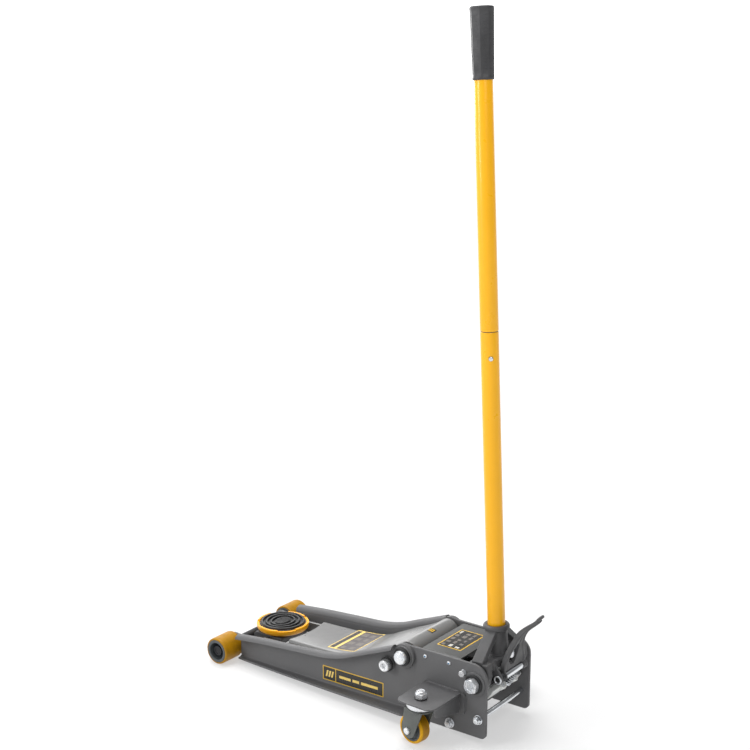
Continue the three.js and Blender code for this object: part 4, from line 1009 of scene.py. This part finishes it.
piece("valve_spindle", turned([(0, 70.6), (6, 70.6), (6, 97), (11, 97), (11, 107.4), (10.4, 108), (7.5, 108), (7.5, 102.6), (0, 102.6)], (-28, 0, 0), (0, 0, 1), 56, 0.4), M, "valve", STEEL, ["release_valve"])

# ------------------------------------------------------- handle socket and pedal


def lean_xz(x, z):
    dx, dz = x - HP[0], z - HP[1]
    c, s = math.cos(LEAN), math.sin(LEAN)
    return (dx * c - dz * s, dx * s + dz * c)


SHAFT = (4.5, 114.0)
sh = lean_xz(*SHAFT)
parts = [turned([(0, 19), (24, 19), (22.8, 50), (21.8, 80), (22.2, 86.4), (26.8, 89.4), (27.2, 94.6), (25.2, 98.4), (0, 98.4)], (0, 0, 0), (0, 0, 1), 96, 1.0),
         block(-22, 24, -76, 76, 19, 38, 1.5, 3)]
for s in (-1, 1):
    parts.append(prism(hull([(0, 0, 21), (-21, 37, 0), (24, 37, 0), (27, 12, 0)], 64), s * 60, s * 76, "xz", 2.0))
    rib = [(20, 88), (24, 88), (76, 42), (76, 30), (60, 30), (60, 40), (20, 74)]
    parts.append(prism([(s * y, z) for y, z in rib], -12.5, 12.5, "yz", 1.4))
    parts.append(prism(hull([(sh[0], sh[1], 9), (8, 22, 0), (8, 37, 0), (23, 37, 0)], 48), *sorted((s * 44, s * 50)), "xz", 1.0))
    parts.append(turned([(0, 58), (21, 58), (21, 76), (0, 76)], (0, 0, 0), (0, s, 0), 72, 1.0))
cuts = [bar(18.6, (0, 0, 33.6), (0, 0, 120), 64), bar(9.6, (0, 0, 0), (0, 0, 60), 48), ybar(10.3, -100, 100, 0, 0), ybar(5.4, -60, 60, *sh),
        bar(4.4, (10, 0, 40.5), (60, 0, 40.5), 32)]
me = cast_mesh(parts, cuts, 0.95, 3, 0.5)
piece("socket_casting", me, H, "socket", CAST, ["handle_socket"], 180)
# set screw
hx = turned([(0, 18.7), (4, 18.7), (4, 31.5), (8.6, 31.5), (8.6, 35.2), (7.4, 36.3), (0, 36.3)], (0, 0, 40.5), (1, 0, 0), 72, 0.4)
piece("set_screw", hx, H, "socket", ZINC, ["handle_lock_screw"], 28)
for side, tag in ((-1, "left"), (1, "right")):
    x, z = HP
    # black collar round each socket pivot bolt: painted shadow, the dark crescent round the hex head
    piece(f"pivot_collar_painted_shadow_{tag}", turned([(10.2, 89.8), (20, 89.8), (20, 91.8), (19, 92.5), (10.2, 92.5)], (x, 0, z), (0, side, 0), 80, 0.3), M, "chassis", BLACK_RING)
    me = csg(turned([(0, 61), (10, 61), (10, 93.8), (0, 93.8)], (x, 0, z), (0, side, 0), 80, 0.2),
             [("+", hex_solid(27, x, z, side * 92.8, side * 105.5, 0.35)),
              ("-", turned([(0, 104.4), (8.0, 104.4), (9.4, 106), (0, 107)], (x, 0, z), (0, side, 0), 48, 0))])
    piece(f"pivot_bolt_{tag}", me, M, "chassis", ZINC, [f"socket_bolt_{tag}"], 28)

piece("shaft_rod", turned([(0, -52.6), (5.2, -52.6), (5.9, -54.3), (7.2, -54.5), (8.5, -53.6), (8.5, -51.6), (7.6, -51), (5, -51), (5, 53), (0, 53)], (SHAFT[0], 0, SHAFT[1]), (0, 1, 0), 56, 0.4),
      M, "socket", ZINC, ["pump_shaft"])
piece("roller_sleeve", turned([(5.3, -28), (7.5, -28), (7.5, 36.4), (5.3, 36.4)], (SHAFT[0], 0, SHAFT[1]), (0, 1, 0), 64, 0.4), M, "roller", CHROME, ["pump_roller"])
# black disc inside the rim at the shaft's near end: painted shade standing in for the dark of the hole
piece("shaft_end_painted_shade", turned([(0, -53.6), (4.9, -53.6), (4.9, -52), (0, -52)], (SHAFT[0], 0, SHAFT[1]), (0, 1, 0), 48, 0.3), M, "socket", BLACK_RING)
N = 4
path = []
for i in range(N * 24 + 1):
    t = 2 * PI * i / 24
    path.append((SHAFT[0] + 7.75 * math.cos(t), -43.4 + 0.95 + (9.7 - 1.9) * i / (N * 24), SHAFT[1] + 7.75 * math.sin(t)))
piece("torsion_spring", tube_path(path, 1.05, 10), M, "socket", DARK_STEEL, ["pedal_spring"], 60)

back = smooth_line([(4, 106), (2.5, 122), (4, 140), (8.5, 160), (15, 180), (25, 200), (36, 213), (47, 222), (60, 234), (70, 246.5)], 3)
thick = []
for i, p in enumerate(back):
    thick.append(9.5 if p[1] < 205 else max(4.8, 9.5 - (p[1] - 205) * 0.13))
profile = prism(strip(back, thick), -33.6, 43.7, "xz", 0)
outline = rounded([(-33.3, 100), (-33.3, 136), (-25, 162), (-14, 190), (-9, 216), (-7.5, 260), (7.5, 260), (9, 216), (17, 190), (31, 160), (43.6, 138), (43.6, 100), (37, 100), (37, 122.6), (-28.3, 122.6), (-28.3, 100)],
                  [0, 12, 12, 12, 12, 0, 0, 12, 16, 16, 10, 0, 0, 4, 1, 0], seg=6)
shape = prism(outline, -30, 90, "yz", 0)
hole = prism(rounded([(2, 131), (8, 138), (11.5, 150), (12, 160), (10.5, 170), (7, 177), (1.5, 177), (-6.5, 169), (-13.5, 160), (-17.6, 150), (-17.6, 142), (-9, 134)], 3), -30, 90, "yz", 0)
inter = csg(profile, [("&", shape), ("-", hole)])
# raised rims along the pedal's edges
rim_a = [(-31, 124), (-31, 138), (-23.2, 162), (-12.6, 190), (-7.6, 216), (-5.8, 238)]
rim_b = [(41.5, 124), (41.5, 138), (29, 160), (15.2, 190), (7.4, 216), (5.8, 238)]
rim_c = [(6, 175), (4, 190), (0.6, 216)]
bx = pchip([(p[1], p[0]) for p in [(4, 106), (2.5, 122), (4, 140), (8.5, 160), (15, 180), (25, 200), (36, 213), (47, 222), (60, 234), (70, 246.5)]])
extra = []
for rim, rr in ((rim_a, 3.0), (rim_b, 3.0), (rim_c, 2.4)):
    pts = [(bx(z) + 4.4 - max(0.0, z - 205) * 0.05, y, z - 0.6) for y, z in smooth_line(rim, 4)]
    extra.append(tube_path(pts, rr, 12))
parts = [inter] + extra + [prism(hull([(64, 239, 2.9), (70.0, 245.6, 3.2)], 32), -7.5, 7.5, "xz", 1.2),
                           ybar(9, -33.3, -28.3, *SHAFT, 48), ybar(9, 37, 43.6, *SHAFT, 48)]
cuts = [ybar(5.5, -60, 60, *SHAFT), ybar(8.6, -28.2, 36.8, *SHAFT), block(73.4, 95, -40, 60, 200, 300, 0, 0)]
piece("pedal_casting", cast_mesh(parts, cuts, 0.85, 3, 0.5), M, "pedal", CAST, ["foot_pedal"], 180)

# ---------------------------------------------------------------------- handle
bd = math.atan2(-0.8, 0.6)
ux, uy = math.cos(bd), math.sin(bd)
J = 695.0


def radial(r, r0, r1, z, n=32, fil=0.0):
    return bar(r, (ux * r0, uy * r0, z), (ux * r1, uy * r1, z), n, fil)


lower = turned([(16, 34), (18, 34), (18, J - 2.2), (17.2, J - 0.6), (16, J - 0.6)], (0, 0, 0), (0, 0, 1), 96, 0.3)
piece("tube_lower", csg(lower, [("-", radial(4.9, 10, 30, 643))]), H, "handle", YELLOW, ["handle_lower_tube"])
upper = turned([(13.4, 600), (15.7, 600), (15.7, J - 0.2), (17.4, J + 0.2), (18, J + 1.8), (18, 1298), (16, 1298), (16, J + 3), (13.4, J + 1)], (0, 0, 0), (0, 0, 1), 96, 0.3)
piece("tube_upper", csg(upper, [("-", radial(4.9, 10, 30, 643))]), H, "handle", YELLOW, ["handle_upper_tube"])
piece("joint_ring", turned([(16.1, J - 0.9), (17.5, J - 0.9), (17.5, J + 0.5), (16.1, J + 0.5)], (0, 0, 0), (0, 0, 1), 96, 0.1), H, "handle", DARK_STEEL)
piece("button_pin", csg(radial(4.3, 12.9, 19.3, 643, 40), [("+", turned([(0, 19), (4.2, 19), (3.9, 19.8), (2.8, 20.4), (0, 20.6)], (0, 0, 643), (ux, uy, 0), 40, 0.3))]),
      H, "button", ZINC, ["snap_button"])

# grip: rounded octagon that widens upward, with finger flats and a rolled end
n = 128
rows = [(1170.4, 19.8, 0.0), (1171.2, 20.6, 0.0), (1173.5, 20.9, 0.0), (1176, 20.9, 0.3), (1179, 20.7, 1.0)]
for k in range(24):
    t = k / 23
    rows.append((1182 + 112 * t, 20.9 + 2.3 * t, 1.0))
rows += [(1297, 23.4, 1.0), (1299.4, 23.6, 0.6), (1301.6, 23.4, 0.2), (1303.4, 22.6, 0.0), (1304.3, 21.4, 0.0), (1304.6, 19.6, 0.0), (1303.9, 17.0, 0.0), (1303.2, 9.0, 0.0)]
loops = []
for z, r, flat in rows:
    lp = []
    for i in range(n):
        t = 2 * PI * i / n
        oct_r = math.cos(PI / 8) / math.cos(((t + PI / 8) % (PI / 4)) - PI / 8)
        f = 1 - flat * 0.85 * (1 - min(1.0, oct_r * 0.999 + 0.004)) if oct_r < 1 else 1
        f = 1 - flat * 0.8 * (1 - oct_r)
        lp.append((r * f * math.cos(t), r * f * math.sin(t), z))
    loops.append(lp)
grip = rings(loops, False, True)
innerl = [[(18.3 * math.cos(2 * PI * i / n), 18.3 * math.sin(2 * PI * i / n), z) for i in range(n)] for z in (1298.5, 1170.4)]
k0 = len(grip.v)
for lp in innerl:
    grip.v += lp
for i in range(n):
    j = (i + 1) % n
    grip.f.append((k0 + i, k0 + j, k0 + n + j, k0 + n + i))
    grip.f.append((k0 + n + i, k0 + n + j, j, i))
grip.f.append(tuple(k0 + i for i in range(n)))
piece("grip_sleeve", grip, H, "handle", GRIP, ["handle_grip"], 40)
gr = Solid()
for k in range(8):
    t = 2 * PI * (k + 0.5) / 8 + PI / 8
    for row in range(17):
        z = 1190 + row * 6.1
        rr = 20.9 + 2.3 * (z - 1182) / 112
        rr *= 1 - 0.8 * (1 - math.cos(PI / 8) / math.cos(((t + PI / 8) % (PI / 4)) - PI / 8))
        c, s = math.cos(t), math.sin(t)
        w = 4.4
        path = [(c * (rr - 0.05) - s * u * w, s * (rr - 0.05) + c * u * w, z) for u in (-1, -0.5, 0, 0.5, 1)]
        gr.add(tube_path(path, 0.55, 6, radii=[0.2, 0.5, 0.55, 0.5, 0.2]))
piece("grip_ribs", gr, H, "handle", GRIP, (), 60)
piece("release_rod", turned([(0, -6), (3.6, -4.8), (5.6, -2), (6, 0), (5.2, 3), (5, 34.2), (15.6, 34.2), (15.6, 40), (0, 40)], (0, 0, 0), (0, 0, 1), 48, 0.4), H, "handle", STEEL, ["release_universal"])

# --------------------------------------------------------------------- casters
for side, tag in ((-1, "left"), (1, "right")):
    o_ = lambda v: side * v
    sx, sy = STEM
    y = side * sy
    top = prism(rounded([(-147, o_(87.6)), (-60, o_(87.6)), (-60, o_(178)), (-65, o_(189)), (-76, o_(194)), (-133, o_(194)), (-143, o_(190)), (-147, o_(181))], [0, 0, 5, 6, 6, 6, 6, 5], seg=5), 95.4, 98.4, "xy", 0.5)
    rear = prism(rounded([(o_(87.6), 55), (o_(164), 73), (o_(174), 77), (o_(178), 84), (o_(178), 97.2), (o_(87.6), 97.2)], [0, 6, 5, 5, 0, 0], seg=5), -65, -61.6, "yz", 0.5)
    fold = turned([(0, 87.6), (3.3, 87.6), (3.3, 178.6), (0, 178.6)], (-63.6, 0, 95.1), (0, side, 0), 48, 0.3)
    frontsk = prism(rounded([(o_(87.6), 86), (o_(181), 86), (o_(181), 97), (o_(87.6), 97)], [0, 4, 0, 0]), -147.2, -144, "yz", 0.5)
    fold2 = turned([(0, 87.6), (3.2, 87.6), (3.2, 181), (0, 181)], (-144.0, 0, 95.2), (0, side, 0), 48, 0.3)
    tab = block(-63, -50, *sorted((o_(86.9), o_(91.0))), 55, 98.4, 0.8, 1.5)
    disc = turned([(0, 93.4), (26, 93.4), (26, 95.8), (0, 95.8)], (sx, y, 0), (0, 0, 1), 64, 0.4)
    me = csg(top, [("+", rear), ("+", fold), ("+", frontsk), ("+", fold2), ("+", tab), ("+", disc), ("-", bar(6.4, (sx, y, 60), (sx, y, 120), 48))])
    piece(f"bracket_{tag}", me, FLOOR, "chassis", BRACKET, [f"caster_bracket_{tag}"], 32)
    # weld beads where the bracket meets the plate
    random.seed(7 + side)
    beads = Solid()
    runs = [((-143, o_(88.0), 98.4), (-64, o_(88.0), 98.6)), ((-49.6, o_(87.4), 60), (-49.6, o_(87.4), 95))]
    for a, b in runs:
        a, b = np.array(a, float), np.array(b, float)
        L = np.linalg.norm(b - a)
        k = int(L / 1.6)
        path = [tuple(a + (b - a) * i / k + np.array([0, random.uniform(-0.12, 0.12), random.uniform(-0.12, 0.12)])) for i in range(k + 1)]
        radii = [1.7 + 0.28 * math.sin(i * 2.3) + random.uniform(-0.15, 0.15) for i in range(k + 1)]
        radii[0] = radii[-1] = 0.6
        beads.add(tube_path(path, 1.7, 12, radii=radii))
    piece(f"weld_{tag}", beads, FLOOR, "chassis", BRACKET, (), 70)
    piece(f"race_{tag}", turned([(6.4, 80), (24.3, 80), (26.6, 81.4), (28.5, 84.5), (28.5, 91.5), (27.4, 93.2), (26.4, 95.1), (6.4, 95.1)], (sx, y, 0), (0, 0, 1), 96, 0.5), FLOOR, "chassis", ZINC, [f"caster_race_{tag}"])
    nut = csg(prism(hexagon(21.5, sx, y, 0.25), 98.0, 113, "xy", 0), [("&", turned([(0, 100.2), (10.7, 100.2), (12.6, 101.3), (12.6, 109.3), (10.7, 110.5), (0, 110.5)], (sx, y, 0), (0, 0, 1), 72, 0))])
    me = csg(nut, [("+", turned([(0, 110), (9.8, 110), (9.8, 111.4), (8.6, 114.4), (7.4, 114.8), (6.8, 113.6), (6.8, 112), (0, 112)], (sx, y, 0), (0, 0, 1), 64, 0.4)),
                   ("+", turned([(0, 73), (6, 73), (6, 114.6), (5, 115.6), (0, 115.6)], (sx, y, 0), (0, 0, 1), 48, 0.1)),
                                      ("+", prism(hexagon(15, sx, y, 0.1), 71.8, 75.2, "xy", 0.3))])
    # black ring under each caster nut: painted shadow beneath the nut
    piece(f"nut_painted_shadow_ring_{tag}", turned([(6.3, 98.5), (13.2, 98.5), (13.2, 100.1), (6.3, 100.1)], (sx, y, 0), (0, 0, 1), 64, 0.3), FLOOR, "chassis", BLACK_RING)
    piece(f"stem_{tag}", me, FLOOR, "chassis", ZINC, [f"caster_stem_{tag}"], 28)
    C = from_caster(side)
    ax = (-13.5, 31.0)
    ax0 = hull([(ax[0] + 1, ax[1] + 1, 16.5), (-25, 79, 0), (22, 79, 0)], 64)
    legs = [prism(ax0, *sorted((s * 18, s * 21.5)), "xz", 0.7) for s in (-1, 1)]
    disc = turned([(0, 75.5), (25.6, 75.5), (27, 76.6), (27, 79.0), (26, 79.7), (0, 79.7)], (0, 0, 0), (0, 0, 1), 96, 0.3)
    me = csg(disc, [("+", legs[0]), ("+", legs[1]), ("-", bar(6.4, (0, 0, 50), (0, 0, 90), 40)), ("-", ybar(5.4, -30, 30, *ax))])
    piece(f"fork_{tag}", me, C, f"caster_{tag}", FORK, [f"caster_fork_{tag}"], 34)
    piece(f"axle_{tag}", turned([(0, -27), (5.4, -26.8), (6.8, -25.6), (7, -24.6), (7, -21.8), (5, -21.8), (5, 21.8), (7, 21.8), (7, 24.6), (6.8, 25.6), (5.4, 26.8), (0, 27)], (ax[0], 0, ax[1]), (0, 1, 0), 56, 0.2),
          C, f"caster_{tag}", ZINC, [f"caster_axle_{tag}"])
    w = 12.4
    core = turned([(5.4, -17.6), (9, -17.6), (9.8, -w + 3.4), (20.5, -w + 3.4), (21.6, -w), (24.6, -w), (24.6, w), (21.6, w), (20.5, w - 3.4), (9.8, w - 3.4), (9, 17.6), (5.4, 17.6)], (ax[0], 0, ax[1]), (0, 1, 0), 80, 0.5)
    piece(f"wheel_{tag}", core, C, f"caster_wheel_{tag}", CORE, [f"caster_wheel_{tag}"])
    tread = turned([(24.9, -w), (28.2, -w), (30, -w + 1.4), (31, -w + 4), (31, w - 4), (30, w - 1.4), (28.2, w), (24.9, w)], (ax[0], 0, ax[1]), (0, 1, 0), 128, 0.9)
    edge_ring = Solid()
    for k in (-1, 1):
        edge_ring.add(turned([(25.2, w + 0.06), (28.25, w + 0.06), (30.15, w - 1.4), (31.08, w - 4.4), (30.4, w - 4.6), (27.6, w - 0.9), (25.2, w - 0.4)], (ax[0], 0, ax[1]), (0, k, 0), 112, 0))
    piece(f"tread_edge_{tag}", edge_ring, C, f"caster_wheel_{tag}", TREAD_EDGE)
    piece(f"tread_{tag}", tread, C, f"caster_wheel_{tag}", TREAD, [f"caster_tread_{tag}"])

# ------------------------------------------------- plain panels where labels are


def sheet_panel(fn, u0, u1, v0, v1, lift, nu=12, nv=2, thick=0.25):
    """Thin closed panel on a surface: fn(u, v) gives (point, outward normal) in layout mm."""
    top, bot = [], []
    for i in range(nu + 1):
        for j in range(nv + 1):
            p, n3 = fn(u0 + (u1 - u0) * i / nu, v0 + (v1 - v0) * j / nv)
            top.append(tuple(p + n3 * lift))
            bot.append(tuple(p + n3 * (lift - thick)))
    N = len(top)
    f = []
    id_ = lambda i, j: i * (nv + 1) + j
    for i in range(nu):
        for j in range(nv):
            q = (id_(i, j), id_(i + 1, j), id_(i + 1, j + 1), id_(i, j + 1))
            f.append(q)
            f.append(tuple(N + k for k in q[::-1]))
    border = [id_(i, 0) for i in range(nu)] + [id_(nu, j) for j in range(nv)] + [id_(i, nv) for i in range(nu, 0, -1)] + [id_(0, j) for j in range(nv, 0, -1)]
    m = len(border)
    for k in range(m):
        a, b = border[k], border[(k + 1) % m]
        f.append((a, b, N + b, N + a))
    return Solid(top + bot, f)


def on_plate(side):
    def fn(x, z):
        return np.array([x, side * web_outer(x), z]), np.array([0, side, 0.0])
    return fn


def on_cover(x, y):
    return np.array([x, y, 150.0]), np.array([0, 0, 1.0])


def on_arm(x, y):
    s = (arm_top(x + 1) - arm_top(x - 1)) / 2
    n3 = np.array([-s, 0, 1.0])
    return np.array([x, y, arm_top(x)]), n3 / np.linalg.norm(n3)


for side, tag in ((-1, "left"), (1, "right")):
    fn = on_plate(side)
    # seen from outside the small square is towards the front on the left plate
    x0, x1 = -406, -248
    piece(f"label_side_{tag}_base", sheet_panel(fn, x0, x1, 20, 52, 0.20, 24), M, "chassis", LABEL_YELLOW)
    dark = Solid()
    dark.add(sheet_panel(fn, x0 + 2, -372.5, 22, 50, 0.32, 8, 2, 0.2))
    dark.add(sheet_panel(fn, -370.5, x1 - 2, 22, 50, 0.32, 18, 2, 0.2))
    piece(f"label_side_{tag}_dark", dark, M, "chassis", LABEL_DARK)
    motif = Solid()
    for k in range(3):                       # slanted bars in the square
        a = -398 + k * 7.2
        motif.add(sheet_panel(lambda u, v, a=a: fn(a + u + (v - 30) * 0.25, v), 0, 4.2, 29, 43, 0.44, 2, 2, 0.2))
    for a, b, z0, z1 in ((-362, -332, 33, 39), (-327, -310, 33, 39), (-305, -262, 33, 39)):
        motif.add(sheet_panel(fn, a, b, z0, z1, 0.44, 4, 1, 0.2))
    piece(f"label_side_{tag}_motif", motif, M, "chassis", LABEL_STRAW)

piece("label_cover_base", sheet_panel(on_cover, -145, -88, -47, 47, 0.2), M, "chassis", LABEL_YELLOW)
piece("label_cover_dark", sheet_panel(on_cover, -142.6, -90.4, -44.6, 44.6, 0.32, 8, 2, 0.2), M, "chassis", LABEL_DARK)
random.seed(3)
pale, mid = Solid(), Solid()
for i in range(5):
    for j in range(3):
        y0 = -41 + i * 17.0
        x0 = -139.5 + j * 16.4
        w = random.uniform(7, 14)
        h = random.uniform(4, 10)
        (pale if random.random() < 0.3 else mid).add(sheet_panel(on_cover, x0, x0 + h, y0, y0 + w, 0.44, 1, 1, 0.2))
piece("label_cover_pale", pale, M, "chassis", LABEL_PALE)
piece("label_cover_grey", mid, M, "chassis", LABEL_GREY)

piece("label_arm_base", sheet_panel(on_arm, -430, -356, -50, 64, 0.2, 24, 2), M, "arm", LABEL_STRAW)
ad = Solid()
ad.add(sheet_panel(on_arm, -427.6, -415.6, -46, 60, 0.32, 6, 2, 0.2))
ad.add(sheet_panel(on_arm, -408, -358.4, -47.4, 61.4, 0.32, 16, 2, 0.2))
piece("label_arm_dark", ad, M, "arm", LABEL_SLATE)
am, ah = Solid(), Solid()
for i in range(8):
    ah.add(sheet_panel(on_arm, -424.6, -418.6, -43 + i * 12.8, -43 + i * 12.8 + 9.5, 0.44, 2, 1, 0.2))
for i in range(4):
    for j in range(2):
        y0, x0 = -41 + i * 25.5, -404 + j * 22.5
        am.add(sheet_panel(on_arm, x0, x0 + random.uniform(9, 15), y0, y0 + random.uniform(10, 18), 0.44, 4, 1, 0.2))
piece("label_arm_blocks", am, M, "arm", LABEL_GREY)
piece("label_arm_header", ah, M, "arm", LABEL_DARK)


def on_hump(a, y):
    n3 = np.array([math.sin(rad(a)), 0, math.cos(rad(a))])
    return np.array([ARMP[0], y, ARMP[1]]) + n3 * 25, n3


piece("label_hump_a", sheet_panel(on_hump, -6, 26, -6, 12, 0.2, 8, 1), M, "arm", LABEL_DARK)
hm = Solid()
for k in range(3):
    hm.add(sheet_panel(on_hump, -2 + k * 9, 3 + k * 9, -3.5, 9.5, 0.34, 2, 1, 0.2))
piece("label_hump_b", hm, M, "arm", LABEL_YELLOW)

# ------------------------------------------------------------- floor and light


def glowing_floor_material():
    """Pale floor that glows (painted light): emission at half strength near the jack, rising to full far off, lightens
    the contact shadow and the undersides; the floor runs out into the same white as the horizon.
    """
    t = Tree("floor")
    g = t.node("ShaderNodeVectorMath", operation="LENGTH")
    t.link(t.coord.outputs["Object"], g.inputs[0])
    far = t.span(g.outputs["Value"], 0.7, 3.5)
    near = t.ramp(t.noise(0.8, 3, 0.5), [(0.3, (0.36, 0.36, 0.36, 1)), (0.7, (0.38, 0.38, 0.38, 1))])
    col = t.mix(far, near, (0.0, 0.0, 0.0, 1))
    t.link(col, t.bsdf.inputs["Base Color"])
    # painted light: the floor glows, half strength near the jack and full strength far off, lightening the contact
    # shadow and the undersides
    t.bsdf.inputs["Emission Color"].default_value = (1, 1, 1, 1)
    t.link(t.span(g.outputs["Value"], 0.45, 3.0, 0.5, 1.0), t.bsdf.inputs["Emission Strength"])
    t.bsdf.inputs["Roughness"].default_value = 0.7
    t.bsdf.inputs["Specular IOR Level"].default_value = 0.2
    return t.mat


me = bpy.data.meshes.new("floor")
R = 60.0
me.from_pydata([(-R, -R, 0), (R, -R, 0), (R, R, 0), (-R, R, 0)], [], [(0, 1, 2, 3)])
me.materials.append(glowing_floor_material())
floor = bpy.data.objects.new("floor", me)
scene.collection.objects.link(floor)

world = bpy.data.worlds.new("studio")
scene.world = world
world.use_nodes = True
wt = world.node_tree
wt.nodes.clear()
wo = wt.nodes.new("ShaderNodeOutputWorld")
bg = wt.nodes.new("ShaderNodeBackground")
tc = wt.nodes.new("ShaderNodeTexCoord")
sx_ = wt.nodes.new("ShaderNodeSeparateXYZ")
rp = wt.nodes.new("ShaderNodeValToRGB")
rp.color_ramp.elements[0].position = 0.0
rp.color_ramp.elements[0].color = (1.0, 1.0, 1.0, 1)
rp.color_ramp.elements[1].position = 1.0
rp.color_ramp.elements[1].color = (0.5, 0.5, 0.5, 1)
e = rp.color_ramp.elements.new(0.13)
e.color = (1.0, 1.0, 1.0, 1)
e = rp.color_ramp.elements.new(0.3)
e.color = (0.4, 0.4, 0.41, 1)
wt.links.new(tc.outputs["Generated"], sx_.inputs[0])
wt.links.new(sx_.outputs["Z"], rp.inputs[0])
wt.links.new(rp.outputs[0], bg.inputs["Color"])


def wnode(kind, **props):
    n = wt.nodes.new(kind)
    for k, v in props.items():
        setattr(n, k, v)
    return n


def wspan(src, lo, hi, a, b):
    n = wnode("ShaderNodeMapRange", interpolation_type="SMOOTHSTEP")
    for k, v in (("From Min", lo), ("From Max", hi), ("To Min", a), ("To Max", b)):
        n.inputs[k].default_value = v
    wt.links.new(src, n.inputs["Value"])
    return n.outputs[0]


def wmath(op, a, b):
    n = wnode("ShaderNodeMath", operation=op)
    for i, v in enumerate((a, b)):
        if isinstance(v, (int, float)):
            n.inputs[i].default_value = v
        else:
            wt.links.new(v, n.inputs[i])
    return n.outputs[0]


# a brighter wall low behind the far side, a dimmer one behind the operator's end
dp = wnode("ShaderNodeVectorMath", operation="DOT_PRODUCT")
wt.links.new(tc.outputs["Generated"], dp.inputs[0])
dp.inputs[1].default_value = (-0.65, 0.76, 0.0)
back = wmath("MULTIPLY", wspan(dp.outputs["Value"], 0.5, 0.95, 0.0, 0.9), wspan(sx_.outputs["Z"], 0.1, 0.32, 1.0, 0.0))
rear = wspan(sx_.outputs["X"], -0.1, 0.75, 1.0, 0.4)
wt.links.new(wmath("MULTIPLY", wmath("ADD", back, 1.0), rear), bg.inputs["Strength"])
wt.links.new(bg.outputs[0], wo.inputs["Surface"])


def area_light(name, loc, target, size, power, colour=(1, 1, 1)):
    L = bpy.data.lights.new(name, "AREA")
    L.shape = "RECTANGLE"
    L.size, L.size_y = size
    L.energy = power
    L.color = colour
    o = bpy.data.objects.new(name, L)
    scene.collection.objects.link(o)
    o.location = loc
    o.rotation_euler = (Vector(target) - Vector(loc)).to_track_quat("-Z", "Y").to_euler()
    return o


area_light("top", (-0.5, 0.25, 3.0), (0, 0, 0.1), (1.8, 1.4), 76)
area_light("front", (-2.2, 0.9, 1.8), (0, 0, 0.1), (2.2, 1.6), 34)
area_light("rear", (1.7, -1.1, 2.3), (0.29, 0, 1.1), (0.9, 0.9), 15)
area_light("left", (-1.6, -2.5, 1.7), (0, 0, 0.4), (0.9, 1.5), 34)

# -------------------------------------------------------------------- camera
th, ps = rad(12.27), rad(36.54)
fw = np.array([-math.sin(ps) * math.cos(th), math.cos(ps) * math.cos(th), -math.sin(th)])
rt = np.array([math.cos(ps), math.sin(ps), 0.0])
up = np.cross(rt, fw)


def turn(d):
    return Vector((d[0] * CT - d[2] * ST, d[1], d[0] * ST + d[2] * CT))


fw, rt, up = turn(fw), turn(rt), turn(up)
loc = from_chassis(np.array([[1279.42, -2182.54, 1272.0]]))[0]
cam = bpy.data.cameras.new("camera")
cam.sensor_fit = "HORIZONTAL"
cam.sensor_width = 36
cam.lens = 64.27
cam.clip_end = 200
co = bpy.data.objects.new("camera", cam)
scene.collection.objects.link(co)
co.matrix_world = Matrix(((rt[0], up[0], -fw[0], loc[0]), (rt[1], up[1], -fw[1], loc[1]), (rt[2], up[2], -fw[2], loc[2]), (0, 0, 0, 1)))
scene.camera = co
scene.view_settings.view_transform = "Standard"
